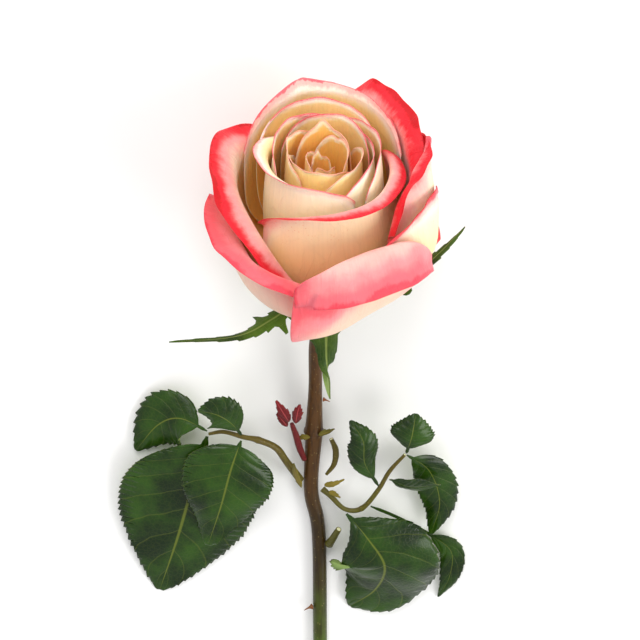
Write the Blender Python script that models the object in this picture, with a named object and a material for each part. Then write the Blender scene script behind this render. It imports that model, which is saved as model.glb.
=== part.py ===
"""Cut rose lying on a flat surface: a spiral bloom, sepals, a bent stem and its compound leaves.

Lengths are in metres. The bloom is shaped upright round its own +Z axis, with azimuth 0 towards -Y,
and is then tipped over together with its sepals. Stem and leaves are shaped where they lie.
"""

import math
from dataclasses import dataclass

import bmesh
import bpy
import numpy as np
from mathutils import Matrix, Vector
from mathutils.bvhtree import BVHTree

MM = 0.001
BLOOM_UNIT = 0.92 * MM

# Bloom
HEAD_PLACE = Vector((0.0, 5.5, 28.5)) * MM
HEAD_PITCH = 20.0
BLOOM_HEART = Vector((0.0, 0.0, 26.0 * MM))
RAY_REACH = 0.2
PETAL_THICKNESS = 0.4 * MM
PETAL_ROUGHNESS = 0.55
PETAL_GAP = 0.95 * MM
PETAL_COLUMNS = 8
CORE_ROWS = 5
CURL_ROWS = 3
CLAW_RADIUS = (2.4 * MM, 8.6 * MM)
CLAW_HEIGHT = (6.5 * MM, 1.0 * MM)
CLAW_HALF_WIDTH = 3.0 * MM
CUP_SWELL = 1.18
CUP_LEVELS = (0.07, 0.55)
OPENED_BY = 0.62
RIM_NARROWS = 0.10
CURL_SHARE = 0.12
CURL_STEPS = 8
CURL_TURNED_BY = 0.65
WIDEST_WRAP = math.radians(150.0)
SMOOTHING_ROUNDS = 5
SETTLING_ROUNDS = 12
SETTLED = 0.02 * MM
SHALLOWEST = 0.45

# Green parts
STEM_SIDES = 12
STEM_RINGS = 26
BLADE_THICKNESS = 0.5 * MM
LEAF_GRID = (6, 9)
SEPAL_GRID = (4, 8)
SCALE_GRID = (2, 4)
NARROW_END = 0.05
NECK_HALF_WIDTH = 0.6 * MM
STALK_SIDES = 6
HIP_SIDES = 12
PRICKLE_SIDES = 8
SEAM = 0.01 * MM
SHARP_ANGLE = math.radians(50.0)
UP = Vector((0.0, 0.0, 1.0))


@dataclass(frozen=True)
class Petal:
    """One petal. Lengths are in bloom units and angles in degrees; pairs and triples run left to right.

    azimuth and half_width place it round the bloom, belly is how far its cup swells, rim_radius and
    rim_height are where its rim starts to curl, curl_length and curl are how much of it turns out, and
    droop is how much shorter its sides are than its middle.
    """

    azimuth: float
    half_width: float
    belly: float
    rim_radius: float
    rim_height: float
    curl_length: float
    curl: tuple
    droop: tuple


HEART_PETALS = (
    Petal(200, 7, 4.0, 3.5, 61, 1.5, (10, 10, 10), (0.06, 0.06)),
    Petal(20, 9, 5.5, 4.5, 60, 1.5, (10, 25, 10), (0.06, 0.06)),
    Petal(265, 10, 7.0, 6.0, 63, 1.5, (10, 20, 10), (0.06, 0.06)),
    Petal(120, 14, 8.5, 9.5, 66, 1.5, (10, 20, 20), (0.06, 0.04)),
    Petal(170, 16, 10.0, 10.5, 69, 1.5, (10, 0, 10), (0.08, 0.08)),
    Petal(-25, 24, 11.5, 12.0, 65, 2.0, (20, 30, 10), (0.05, 0.05)),
    Petal(250, 20, 13.0, 13.2, 67, 2.0, (10, 20, 10), (0.05, 0.05)),
    Petal(65, 20, 14.0, 15.0, 65, 2.0, (10, 25, 10), (0.05, 0.05)),
)

CUP_PETALS = (
    Petal(160, 26, 16.4, 17.2, 69, 2.0, (10, 10, 10), (0.05, 0.05)),
    Petal(225, 24, 18.0, 18.0, 69, 2.0, (20, 25, 10), (0.05, 0.05)),
    Petal(85, 26, 18.5, 19.5, 65, 2.0, (10, 15, 10), (0.05, 0.05)),
    Petal(-58, 36, 20.5, 20.5, 62, 9.0, (130, 60, 25), (0.05, 0.03)),
    Petal(112, 28, 21.5, 22.0, 66, 3.0, (10, 15, 5), (0.05, 0.05)),
    Petal(184, 27, 23.0, 25.4, 68, 3.0, (15, 15, 15), (0.06, 0.06)),
)

OUTER_PETALS = (
    Petal(34, 43, 27.0, 26.0, 56, 10.0, (60, 100, 150), (0.10, -0.04)),
    Petal(178, 40, 28.0, 30.5, 69, 5.0, (15, 40, 30), (0.10, 0.10)),
    Petal(-174, 23, 30.0, 33.5, 69, 4.0, (15, 25, 25), (0.15, 0.12)),
    Petal(132, 29, 29.0, 32.5, 61, 13.0, (65, 65, 75), (0.10, 0.14)),
    Petal(-86, 43, 30.0, 32.0, 47, 20.0, (55, 70, 78), (0.20, 0.36)),
    Petal(86, 22, 30.0, 30.5, 54, 12.0, (65, 65, 60), (0.12, 0.12)),
    Petal(60, 24, 28.0, 28.5, 39, 8.0, (70, 45, 30), (0.12, 0.12)),
    Petal(-48, 33, 31.0, 33.5, 34, 23.0, (56, 85, 100), (0.07, 0.16)),
    Petal(27, 21, 27.0, 29.0, 37, 29.0, (146, 146, 146), (0.0, 0.16)),
    Petal(150, 24, 31.5, 33.0, 34, 6.0, (30, 35, 30), (0.15, 0.15)),
    Petal(-150, 23, 30.0, 32.0, 34, 6.0, (30, 35, 30), (0.15, 0.15)),
    Petal(128, 20, 30.0, 31.0, 26, 5.0, (30, 35, 30), (0.15, 0.15)),
)

PETALS = HEART_PETALS + CUP_PETALS + OUTER_PETALS

# Finishes
PETAL_COLOURS = {"heart": (0.93, 0.62, 0.27), "cup": (0.97, 0.80, 0.60), "outer": (0.90, 0.30, 0.32)}
GREEN = (0.10, 0.22, 0.06)
STALK_GREEN = (0.20, 0.17, 0.07)
SEPAL_GREEN = (0.25, 0.36, 0.12)
YOUNG_RED = (0.33, 0.05, 0.06)


@dataclass(frozen=True)
class Blade:
    """A leaflet, sepal or scale along a spine of points, in millimetres.

    face is roughly where its upper side looks, arch is how far its sides bend down, in degrees, and
    peak moves its widest place: below 1 towards the base, above 1 towards the tip. neck is the share of
    the spine that is its own narrow stalk.
    """

    spine: tuple
    half_width: float
    face: tuple = (0.0, 0.0, 1.0)
    arch: float = 12.0
    peak: float = 0.85
    neck: float = 0.0


@dataclass(frozen=True)
class Stalk:
    """A round stalk through points, in millimetres, with its radius at each of them."""

    points: tuple
    radii: tuple


STEM = Stalk(
    ((0, -8.0, 23.2), (-1.2, -18, 19.5), (-2.2, -28.5, 15.8), (-2.5, -47.5, 10.4), (-3.1, -68.6, 6.6),
     (-4.0, -92.6, 4.4), (-1.1, -112.1, 3.4), (-0.6, -159.6, 2.9), (-0.2, -215, 2.8)),
    (2.9, 2.7, 2.6, 2.6, 3.1, 2.7, 2.7, 2.6, 2.7),
)

STALKS = {
    "leaf_stalk_left": Stalk(
        ((-8.1, -87.2, 6.2), (-13.1, -77.9, 10), (-17.1, -70.4, 13), (-23.7, -66.1, 15), (-29.2, -64.3, 16),
         (-36.3, -63.0, 14.5), (-41.9, -64.6, 13)),
        (1.5, 1.4, 1.3, 1.1, 0.9, 0.8, 0.6),
    ),
    "leaf_stalk_right": Stalk(
        ((0.2, -91.0, 6.4), (3.3, -93.3, 8), (8.7, -97.5, 10.5), (15.0, -96.9, 11), (21.0, -88.4, 12.5),
         (25.3, -79.0, 15), (30.8, -71.2, 17)),
        (1.2, 1.0, 0.9, 0.9, 0.9, 0.8, 0.6),
    ),
    "broken_stalk": Stalk(((2.7, -115.3, 5.2), (4.1, -111.9, 7.2), (6.4, -106.6, 9.5)), (1.7, 1.4, 1.1)),
    "young_shoot": Stalk(
        ((-6.6, -77.0, 9.4), (-8.3, -71.1, 11.4), (-9.7, -64.5, 14), (-11.1, -58.8, 16.2)),
        (1.0, 1.3, 1.2, 0.8),
    ),
    "hooked_bract": Stalk(
        ((3.5, -68.5, 9.5), (5.2, -73.8, 8.8), (4.6, -79.7, 8.0), (1.7, -84.5, 7.2)),
        (0.8, 1.2, 1.0, 0.6),
    ),
}

LEAFLETS = {
    "leaflet_left_terminal": Blade(
        ((-42.6, -65.7, 12.9), (-47.9, -85.4, 11), (-54.4, -111.1, 7), (-62.0, -137.5, 1)),
        26.4, (0, 0, 1), 8, 0.9, 0.07,
    ),
    "leaflet_left_front": Blade(
        ((-29.9, -65.4, 17.0), (-33.8, -77.2, 18), (-37.8, -93.8, 16), (-43.0, -112.8, 11)),
        17.4, (0, 0, 1), 10, 0.75, 0.07,
    ),
    "leaflet_left_back": Blade(
        ((-42.6, -63.6, 12.5), (-52.7, -60.2, 9), (-61.1, -64.4, 6), (-69.8, -76.8, 2.5)),
        11.6, (0, 0.3, 1), 8, 0.9, 0.12,
    ),
    "leaflet_left_upper": Blade(
        ((-29.7, -63.0, 17.1), (-33.5, -56.4, 20.5), (-38.6, -52.0, 22.5), (-45.6, -51.6, 20.0)),
        8.2, (0.1, -0.2, 1), 14, 1.0, 0.12,
    ),
    "leaflet_right_terminal": Blade(
        (
            (9.2, -98.8, 11.8), (16.9, -106.0, 17.5), (23.6, -118.0, 17.5), (20.4, -132.6, 9.5),
            (10.8, -144.6, 1.5),
        ),
        21.5, (0, 0, 1), 14, 1.15, 0.07,
    ),
    "leaflet_right_inner": Blade(
        ((21.1, -85.7, 14.2), (16.0, -74.5, 18), (15.2, -64.4, 19), (10.4, -57.6, 16)),
        5.9, (0.2, 0, 1), 20, 0.9, 0.12,
    ),
    "leaflet_right_middle": Blade(
        ((25.1, -82.9, 14.5), (32.8, -85.5, 15.5), (44.4, -85.8, 13.5)), 5.3, (0, -0.8, 1), 12, 0.9, 0.08,
    ),
    "leaflet_right_upper": Blade(
        ((31.3, -70.2, 17.7), (33.2, -61.7, 21), (34.6, -53.2, 19)), 8.4, (0, 0, 1), 14, 0.9, 0.15,
    ),
    "leaflet_right_long": Blade(
        ((31.7, -71.8, 16.2), (40.3, -81.1, 11.5), (44.3, -96.2, 8), (41.2, -110.8, 6)),
        7.9, (0, 0, 1), 14, 0.9, 0.08,
    ),
    "leaflet_right_far": Blade(
        (
            (18.4, -96.6, 9.9), (30.0, -104.5, 5.6), (41.8, -112.6, 3.9), (49.2, -119.5, 3.9),
            (48.6, -131.0, 3.0), (44.5, -140.6, 1.0),
        ),
        4.9, (0, 0, 1), 10, 0.8, 0.4,
    ),
}

SCALES = {
    "shoot_leaf_1": Blade(
        ((-12.2, -57.3, 17.5), (-14.6, -52.1, 19), (-16.9, -47.9, 19)),
        2.2, (0, -0.3, 1), 10, 0.7,
    ),
    "shoot_leaf_2": Blade(
        ((-12.8, -59.6, 16.7), (-15.0, -56.3, 17), (-16.8, -54.8, 16)),
        1.6, (0, 0, 1), 10, 0.7,
    ),
    "shoot_leaf_3": Blade(
        ((-9.7, -58.0, 17.3), (-8.9, -52.6, 19), (-8.1, -49.5, 19)),
        2.0, (0, -0.3, 1), 10, 0.7,
    ),
    "bract_left": Blade(
        ((-4.5, -67.1, 10.6), (-7.2, -67.6, 10.2), (-9.9, -69.5, 8.6)),
        1.5, (0, -0.4, 1), 10, 0.7,
    ),
    "bract_right": Blade(
        ((-1.2, -66.3, 10.6), (1.7, -65.4, 10.2), (4.8, -64.6, 9.0)),
        1.5, (0, -0.4, 1), 10, 0.7,
    ),
    "stipule_left": Blade(
        ((-7.7, -89.2, 8.8), (-9.8, -82.8, 10.9), (-10.5, -76.3, 14.2)),
        1.5, (-0.6, 0, 1), 10, 0.8,
    ),
    "stipule_upper": Blade(
        ((1.0, -88.8, 8.0), (4.4, -87.3, 9.6), (8.5, -85.6, 9.2)),
        1.3, (0, 0, 1), 10, 0.6,
    ),
    "stipule_lower": Blade(
        ((2.7, -90.5, 9.8), (5.0, -91.3, 10.4), (6.9, -92.8, 10.4)),
        1.1, (0, 0, 1), 10, 0.6,
    ),
}

# Sepal spines are azimuth in degrees, radius and height in the upright bloom.
SEPALS = {
    "sepal_left": Blade(
        ((-50, 9.4, -3.4), (-53, 22, -7.0), (-56, 37, -8.5), (-65, 60, -6.5)),
        3.4, arch=14, peak=0.5,
    ),
    "sepal_front": Blade(
        ((6, 9.4, -3.4), (5, 17, -8.5), (4, 24, -18.0), (6, 28, -33.0)),
        4.6, arch=20, peak=0.6,
    ),
    "sepal_right": Blade(
        ((82, 9.4, -3.4), (94, 28, -5.5), (104, 42, 1.0), (110, 55, 8.0)),
        3.4, arch=14, peak=0.5,
    ),
    "sepal_back": Blade(
        ((154, 9.4, -3.8), (153, 15, -8.0), (151, 18.5, -16.0), (148, 19, -25.0)),
        3.6, arch=20, peak=0.6,
    ),
    "sepal_under": Blade(
        ((-140, 9.4, -3.8), (-140, 16, -8.0), (-138, 19, -16.0), (-136, 19, -25.0)),
        3.6, arch=20, peak=0.6,
    ),
}

PRICKLES = {
    "prickle_upper": ((0.6, -51.6, 10.4), (1.0, 0.0, 0.4), 2.6),
    "prickle_lower": ((-3.8, -142.8, 4.6), (-1.0, 0.0, 0.55), 3.4),
    "prickle_tail": ((2.2, -188.9, 4.2), (1.0, 0.0, 0.5), 3.6),
}


# The hip's outline, radius and height in millimetres, from the stem end up to the tip of its post.
HIP_PROFILE = (
    (0.0, -12.5), (2.6, -12.2), (3.6, -10.0), (5.6, -6.5), (6.4, -4.0),
    (6.0, -1.0), (1.5, -0.7), (1.2, 4.6), (0.0, 5.2),
)


def clear_scene():
    """Start from an empty file."""
    for obj in list(bpy.data.objects):
        bpy.data.objects.remove(obj, do_unlink=True)


def make_material(name, colour, roughness):
    """A plain Principled finish."""
    material = bpy.data.materials.new(name)
    material.use_nodes = True
    shader = material.node_tree.nodes["Principled BSDF"]
    shader.inputs["Base Color"].default_value = (*colour, 1.0)
    shader.inputs["Roughness"].default_value = roughness
    shader.inputs["Metallic"].default_value = 0.0
    material.diffuse_color = (*colour, 1.0)
    return material


def make_object(name, bm, material, parent):
    """Turn a bmesh into a smooth-shaded object with one material."""
    mesh = bpy.data.meshes.new(name)
    bm.to_mesh(mesh)
    bm.free()
    mesh.shade_smooth()
    mesh.materials.append(material)
    obj = bpy.data.objects.new(name, mesh)
    bpy.context.scene.collection.objects.link(obj)
    obj.parent = parent
    return obj


def give_thickness(obj, thickness):
    """Grow a sheet evenly to both sides."""
    solidify = obj.modifiers.new("thickness", "SOLIDIFY")
    solidify.thickness = thickness
    solidify.offset = 0.0


def smoothstep(value):
    """Ease from 0 to 1."""
    value = min(max(value, 0.0), 1.0)
    return value * value * (3.0 - 2.0 * value)


def across(values, u):
    """Read a left, middle, right triple at u, which runs from -1 to 1."""
    left, middle, right = values
    side = left if u < 0.0 else right
    return middle + (side - middle) * smoothstep(abs(u))


def sheet_grid(columns, rows, place):
    """A grid of faces whose corner at column c and row r is put where place(c, r) says."""
    bm = bmesh.new()
    bmesh.ops.create_grid(bm, x_segments=columns, y_segments=rows, size=0.5)
    for vert in bm.verts:
        column = round((vert.co.x + 0.5) * columns)
        row = round((vert.co.y + 0.5) * rows)
        vert.co = place(column, row)
    return bm


# Petals


def cup_profile(petal, claw_radius, claw_height, t):
    """Radius, height and lean of a petal's middle line at t, from its claw at 0 to its rim at 1."""
    swell = petal.belly * CUP_SWELL * BLOOM_UNIT
    rim_radius = petal.rim_radius * BLOOM_UNIT
    rim_height = petal.rim_height * BLOOM_UNIT
    radii = (claw_radius, swell, swell, rim_radius)
    low, middle = (level * rim_height for level in CUP_LEVELS)
    heights = (claw_height, claw_height + low, middle, rim_height)
    weights = ((1 - t) ** 3, 3 * t * (1 - t) ** 2, 3 * t * t * (1 - t), t ** 3)
    slopes = ((1 - t) ** 2, 2 * t * (1 - t), t * t)
    radius = sum(w * r for w, r in zip(weights, radii))
    height = sum(w * h for w, h in zip(weights, heights))
    run = sum(s * (radii[i + 1] - radii[i]) for i, s in enumerate(slopes))
    rise = sum(s * (heights[i + 1] - heights[i]) for i, s in enumerate(slopes))
    return radius, height, math.atan2(run, rise)


def petal_column(petal, claw, u, core_rows, curl_rows):
    """Radii, heights and height fractions of the petal along one line from claw to rim."""
    droop = petal.droop[0] if u < 0.0 else petal.droop[1]
    edge_t = 1.0 - droop * abs(u) ** 2.5 - 0.07 * (1.0 - math.sqrt(max(0.0, 1.0 - u ** 4)))
    line = []
    for row in range(core_rows + 1):
        t = edge_t * row / core_rows
        radius, height, lean = cup_profile(petal, claw[0], claw[1], t)
        line.append((radius, height, t))
    length = petal.curl_length * BLOOM_UNIT * (1.0 - 0.45 * abs(u) ** 3)
    turn = math.radians(across(petal.curl, u))
    steps = curl_rows * CURL_STEPS
    step = length / steps
    for row in range(curl_rows):
        for part in range(CURL_STEPS):
            done = (row * CURL_STEPS + part + 0.5) / steps
            angle = lean + turn * smoothstep(done / CURL_TURNED_BY)
            radius += step * math.sin(angle)
            height += step * math.cos(angle)
        line.append((radius, height, edge_t + CURL_SHARE * (row + 1) / curl_rows))
    return line


def petal_points(petal, claw, columns, core_rows, curl_rows):
    """Positions of a petal's middle surface in the upright bloom, as rows by columns by 3."""
    points = np.zeros((core_rows + curl_rows + 1, columns + 1, 3))
    for column in range(columns + 1):
        u = 2.0 * column / columns - 1.0
        line = petal_column(petal, claw, u, core_rows, curl_rows)
        for row, (radius, height, t) in enumerate(line):
            core_radius = cup_profile(petal, claw[0], claw[1], min(t, 1.0))[0]
            opened = smoothstep(t / OPENED_BY) ** 0.8
            half = CLAW_HALF_WIDTH + (petal.half_width * BLOOM_UNIT - CLAW_HALF_WIDTH) * opened
            half *= 1.0 - RIM_NARROWS * smoothstep((t - 0.75) / 0.37)
            reach = min(half / core_radius, WIDEST_WRAP)
            angle = math.radians(petal.azimuth) + reach * u
            points[row, column] = (radius * math.sin(angle), -radius * math.cos(angle), height)
    return points


def neighbour_mean(field):
    """Average each value with its eight neighbours."""
    padded = np.pad(field, 1, mode="edge")
    rows, columns = field.shape
    total = np.zeros_like(field)
    for down in range(3):
        for right in range(3):
            total += padded[down:down + rows, right:right + columns]
    return total / 9.0


def grid_faces(rows, columns):
    """Vertex indices of a row-by-row grid's squares."""
    wide = columns + 1
    return [
        (r * wide + c, r * wide + c + 1, (r + 1) * wide + c + 1, (r + 1) * wide + c)
        for r in range(rows)
        for c in range(columns)
    ]


def halved(points):
    """A grid of points with the middles of its edges and squares added."""
    rows, columns = points.shape[0], points.shape[1]
    fine = np.zeros((2 * rows - 1, 2 * columns - 1, 3))
    fine[::2, ::2] = points
    fine[1::2, ::2] = 0.5 * (points[1:] + points[:-1])
    fine[:, 1::2] = 0.5 * (fine[:, 2::2] + fine[:, :-2:2])
    return fine


def clearance(normal, way):
    """How far a petal stands off along a ray to clear a surface with this normal by PETAL_GAP."""
    return PETAL_GAP / max(abs(normal.dot(way)), SHALLOWEST)


def short_over(points, tree):
    """How much too near the heart each corner of a petal is, given the petals in tree."""
    short = np.zeros(points.shape[:2])
    fine = halved(points)
    for row, column in np.ndindex(*fine.shape[:2]):
        ray = Vector(fine[row, column]) - BLOOM_HEART
        way = ray.normalized()
        _, normal, _, travelled = tree.ray_cast(BLOOM_HEART + way * RAY_REACH, -way)
        if normal is not None:
            lack = RAY_REACH - travelled + clearance(normal, way) - ray.length
            for corner in {(row // 2, column // 2), ((row + 1) // 2, (column + 1) // 2)}:
                short[corner] = max(short[corner], lack)
    return short


def short_under(points, inner):
    """The same, felt from places on the petals inside."""
    faces = grid_faces(points.shape[0] - 1, points.shape[1] - 1)
    tree = BVHTree.FromPolygons([Vector(p) for p in points.reshape(-1, 3)], faces)
    short = np.zeros(points.shape[0] * points.shape[1])
    for place in inner:
        ray = place - BLOOM_HEART
        way = ray.normalized()
        _, normal, face, travelled = tree.ray_cast(BLOOM_HEART, way)
        if normal is not None:
            lack = ray.length + clearance(normal, way) - travelled
            for vert in faces[face]:
                short[vert] = max(short[vert], lack)
    return short.reshape(points.shape[:2])


def settle(points, inner, tree):
    """Open a petal outwards, away from the bloom's heart, until it lies over every petal inside it."""
    heart = np.array(BLOOM_HEART)
    for _ in range(SETTLING_ROUNDS):
        need = np.maximum(short_over(points, tree), short_under(points, inner))
        if need.max() < SETTLED:
            break
        lift = need.copy()
        for _ in range(SMOOTHING_ROUNDS):
            lift = np.maximum(neighbour_mean(lift), need)
        rays = points - heart
        points = points + rays / np.linalg.norm(rays, axis=2)[:, :, None] * lift[:, :, None]
    return points


def bloom_surfaces(columns, core_rows, curl_rows):
    """Every petal's middle surface, from the heart outwards, each lying over those inside it."""
    surfaces = []
    inner = []
    verts = []
    faces = []
    last = len(PETALS) - 1
    for index, petal in enumerate(PETALS):
        share = index / last
        claw = (
            CLAW_RADIUS[0] + (CLAW_RADIUS[1] - CLAW_RADIUS[0]) * share,
            CLAW_HEIGHT[0] + (CLAW_HEIGHT[1] - CLAW_HEIGHT[0]) * share,
        )
        points = petal_points(petal, claw, columns, core_rows, curl_rows)
        if faces:
            points = settle(points, inner, BVHTree.FromPolygons(verts, faces))
        inner += [Vector(p) for p in halved(points).reshape(-1, 3)]
        start = len(verts)
        verts += [Vector(p) for p in points.reshape(-1, 3)]
        faces += [tuple(start + i for i in face) for face in grid_faces(core_rows + curl_rows, columns)]
        surfaces.append(points)
    return surfaces


def add_petals(parent):
    """Make each petal as its own thin solid."""
    finishes = {}
    for kind, colour in PETAL_COLOURS.items():
        finishes[kind] = make_material(f"petal_{kind}", colour, PETAL_ROUGHNESS)
    surfaces = bloom_surfaces(PETAL_COLUMNS, CORE_ROWS, CURL_ROWS)
    for index, points in enumerate(surfaces):
        kind = "heart" if index < len(HEART_PETALS) else "cup"
        if index >= len(HEART_PETALS) + len(CUP_PETALS):
            kind = "outer"
        bm = sheet_grid(PETAL_COLUMNS, CORE_ROWS + CURL_ROWS, lambda c, r: Vector(points[r, c]))
        petal = make_object(f"petal_{index + 1:02d}", bm, finishes[kind], parent)
        give_thickness(petal, PETAL_THICKNESS)


# Green parts


def spline(points, t):
    """A smooth curve through points: the place at t, from 0 to 1."""
    place = t * (len(points) - 1)
    index = min(int(place), len(points) - 2)
    local = place - index
    middle = [points[index], points[index + 1]]
    before = points[index - 1] if index > 0 else 2.0 * middle[0] - middle[1]
    after = points[index + 2] if index + 2 < len(points) else 2.0 * middle[1] - middle[0]
    bend = 2.0 * before - 5.0 * middle[0] + 4.0 * middle[1] - after
    twist = 3.0 * middle[0] - before - 3.0 * middle[1] + after
    return 0.5 * (2.0 * middle[0] + local * (middle[1] - before + local * (bend + local * twist)))


def spine_frame(points, t, face):
    """Place, direction, sideways and outward axes of a blade at t."""
    step = 0.01
    ahead = spline(points, min(t + step, 1.0))
    along = (ahead - spline(points, max(t - step, 0.0))).normalized()
    outward = (face - face.dot(along) * along).normalized()
    return spline(points, t), along, along.cross(outward), outward


def blade_half(v, blade):
    """Half width at v along a blade."""
    grown = (v - blade.neck) / (1.0 - blade.neck)
    share = NARROW_END
    if 0.0 < grown < 1.0:
        swell = math.sin(math.pi * grown ** blade.peak) ** 0.8 * (1.0 - 0.4 * grown ** 4)
        share += (1.0 - NARROW_END) * swell
    if blade.neck > 0.0 and v < 0.5:
        return max(share * blade.half_width * MM, NECK_HALF_WIDTH)
    return share * blade.half_width * MM


def add_blade(name, blade, spine, face, grid, material, parent):
    """A thin leaf-like solid along a spine."""
    columns, rows = grid
    drop = math.sin(math.radians(blade.arch))

    def place(column, row):
        u = 2.0 * column / columns - 1.0
        v = row / rows
        point, _, side, outward = spine_frame(spine, v, face)
        wide = blade_half(v, blade)
        return point + side * (wide * u) - outward * (wide * drop * u * u)

    bm = sheet_grid(columns, rows, place)
    obj = make_object(name, bm, material, parent)
    give_thickness(obj, BLADE_THICKNESS)


def add_tube(name, stalk, sides, rings, material, parent):
    """A round stalk with closed ends."""
    points = [Vector(p) * MM for p in stalk.points]
    radii = [Vector((r * MM, 0.0, 0.0)) for r in stalk.radii]

    def place(column, row):
        t = row / rings
        point, _, side, outward = spine_frame(points, t, UP)
        angle = 2.0 * math.pi * (column % sides) / sides
        return point + spline(radii, t).x * (side * math.cos(angle) + outward * math.sin(angle))

    bm = sheet_grid(sides, rings, place)
    bmesh.ops.remove_doubles(bm, verts=bm.verts, dist=SEAM)
    bmesh.ops.holes_fill(bm, edges=bm.edges, sides=sides)
    bmesh.ops.recalc_face_normals(bm, faces=bm.faces)
    obj = make_object(name, bm, material, parent)
    obj.data.set_sharp_from_angle(angle=SHARP_ANGLE)


def add_hip(material, parent):
    """The urn under the bloom, with the post that the inner petals stand round."""
    bm = bmesh.new()
    verts = [bm.verts.new((radius * MM, 0.0, height * MM)) for radius, height in HIP_PROFILE]
    edges = [bm.edges.new(pair) for pair in zip(verts, verts[1:])]
    bmesh.ops.spin(
        bm, geom=verts + edges, cent=(0.0, 0.0, 0.0), axis=UP, angle=2.0 * math.pi, steps=HIP_SIDES,
        use_merge=True,
    )
    bmesh.ops.remove_doubles(bm, verts=bm.verts, dist=SEAM)
    bmesh.ops.recalc_face_normals(bm, faces=bm.faces)
    obj = make_object("hip", bm, material, parent)
    obj.data.set_sharp_from_angle(angle=SHARP_ANGLE)


def add_prickle(name, foot, way, length, material, parent):
    """A small hooked cone."""
    bm = bmesh.new()
    tall = length * MM
    turn = UP.rotation_difference(Vector(way)).to_matrix().to_4x4()
    move = Matrix.Translation(Vector(foot) * MM + Vector(way).normalized() * (0.5 * tall))
    bmesh.ops.create_cone(
        bm, cap_ends=True, segments=PRICKLE_SIDES, radius1=0.34 * tall, radius2=0.04 * tall, depth=tall,
        matrix=move @ turn,
    )
    make_object(name, bm, material, parent)


def add_sepals(material, parent):
    """The five sepals, spread under the bloom."""
    for name, blade in SEPALS.items():
        spine = []
        for azimuth, radius, height in blade.spine:
            angle = math.radians(azimuth)
            spine.append(Vector((radius * math.sin(angle), -radius * math.cos(angle), height)) * MM)
        middle = spine[len(spine) // 2]
        face = Vector((middle.x, middle.y, 0.0)).normalized() * -0.3 + UP
        add_blade(name, blade, spine, face, SEPAL_GRID, material, parent)


def add_greens(parent):
    """Stem, stalks, leaflets, scales and prickles where they lie."""
    bark = make_material("stem_bark", STALK_GREEN, 0.5)
    leaf = make_material("leaf_green", GREEN, 0.35)
    young = make_material("young_red", YOUNG_RED, 0.45)
    add_tube("stem", STEM, STEM_SIDES, STEM_RINGS, bark, parent)
    for name, stalk in STALKS.items():
        finish = young if name == "young_shoot" else bark
        add_tube(name, stalk, STALK_SIDES, 2 * len(stalk.points), finish, parent)
    for name, blade in (LEAFLETS | SCALES).items():
        spine = [Vector(p) * MM for p in blade.spine]
        finish = young if name.startswith("shoot") else leaf
        grid = LEAF_GRID if name in LEAFLETS else SCALE_GRID
        add_blade(name, blade, spine, Vector(blade.face), grid, finish, parent)
    for name, (foot, way, length) in PRICKLES.items():
        add_prickle(name, foot, way, length, bark, parent)


def rest_on_ground(root):
    """Move the rose so that the middle of its box's bottom face is the origin."""
    bpy.context.view_layer.update()
    depsgraph = bpy.context.evaluated_depsgraph_get()
    low = Vector((1.0, 1.0, 1.0))
    high = -low
    for obj in bpy.context.scene.objects:
        if obj.type == "MESH":
            solid = obj.evaluated_get(depsgraph)
            for vert in solid.data.vertices:
                point = solid.matrix_world @ vert.co
                low = Vector(map(min, low, point))
                high = Vector(map(max, high, point))
    root.location = (-0.5 * (low.x + high.x), -0.5 * (low.y + high.y), -low.z)


def main():
    """Build the rose."""
    clear_scene()
    root = bpy.data.objects.new("rose_frame", None)
    head = bpy.data.objects.new("head_frame", None)
    for frame in (root, head):
        bpy.context.scene.collection.objects.link(frame)
    head.parent = root
    head.location = HEAD_PLACE
    head.rotation_euler = (math.radians(HEAD_PITCH - 90.0), 0.0, 0.0)
    add_petals(head)
    sepal_green = make_material("sepal_green", SEPAL_GREEN, 0.5)
    add_hip(sepal_green, head)
    add_sepals(sepal_green, head)
    add_greens(root)
    rest_on_ground(root)


main()
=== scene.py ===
"""A cut rose lying on a pale table: fine petals, toothed leaves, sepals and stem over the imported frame.

Lengths are in metres unless a name says otherwise. The bloom is shaped upright round its own +Z axis, with
azimuth 0 towards -Y, and is then tipped over with its hip and sepals. Stem and leaves are shaped where
they lie.
"""

import logging
import math
from dataclasses import dataclass
from enum import Enum
from typing import Callable

import bmesh
import bpy
import numpy as np
from mathutils import Matrix, Vector
from mathutils.bvhtree import BVHTree


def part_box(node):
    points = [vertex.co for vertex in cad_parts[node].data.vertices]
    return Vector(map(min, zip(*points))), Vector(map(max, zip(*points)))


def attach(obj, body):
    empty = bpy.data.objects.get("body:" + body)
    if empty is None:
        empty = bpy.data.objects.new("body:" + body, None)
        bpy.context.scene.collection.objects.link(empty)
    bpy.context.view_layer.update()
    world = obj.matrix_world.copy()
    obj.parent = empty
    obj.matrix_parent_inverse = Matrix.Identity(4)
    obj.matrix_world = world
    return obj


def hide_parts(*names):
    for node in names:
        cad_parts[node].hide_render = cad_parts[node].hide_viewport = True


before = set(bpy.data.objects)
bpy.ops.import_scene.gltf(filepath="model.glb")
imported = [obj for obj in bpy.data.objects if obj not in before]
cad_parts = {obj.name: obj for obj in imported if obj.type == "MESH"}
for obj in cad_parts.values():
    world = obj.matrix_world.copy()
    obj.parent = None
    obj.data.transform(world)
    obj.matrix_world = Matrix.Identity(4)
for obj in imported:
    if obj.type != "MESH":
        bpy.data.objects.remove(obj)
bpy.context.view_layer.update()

LOG = logging.getLogger("rose")
Socket = bpy.types.NodeSocket

MM = 0.001
BLOOM_UNIT = 0.92 * MM
UP = Vector((0.0, 0.0, 1.0))

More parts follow.
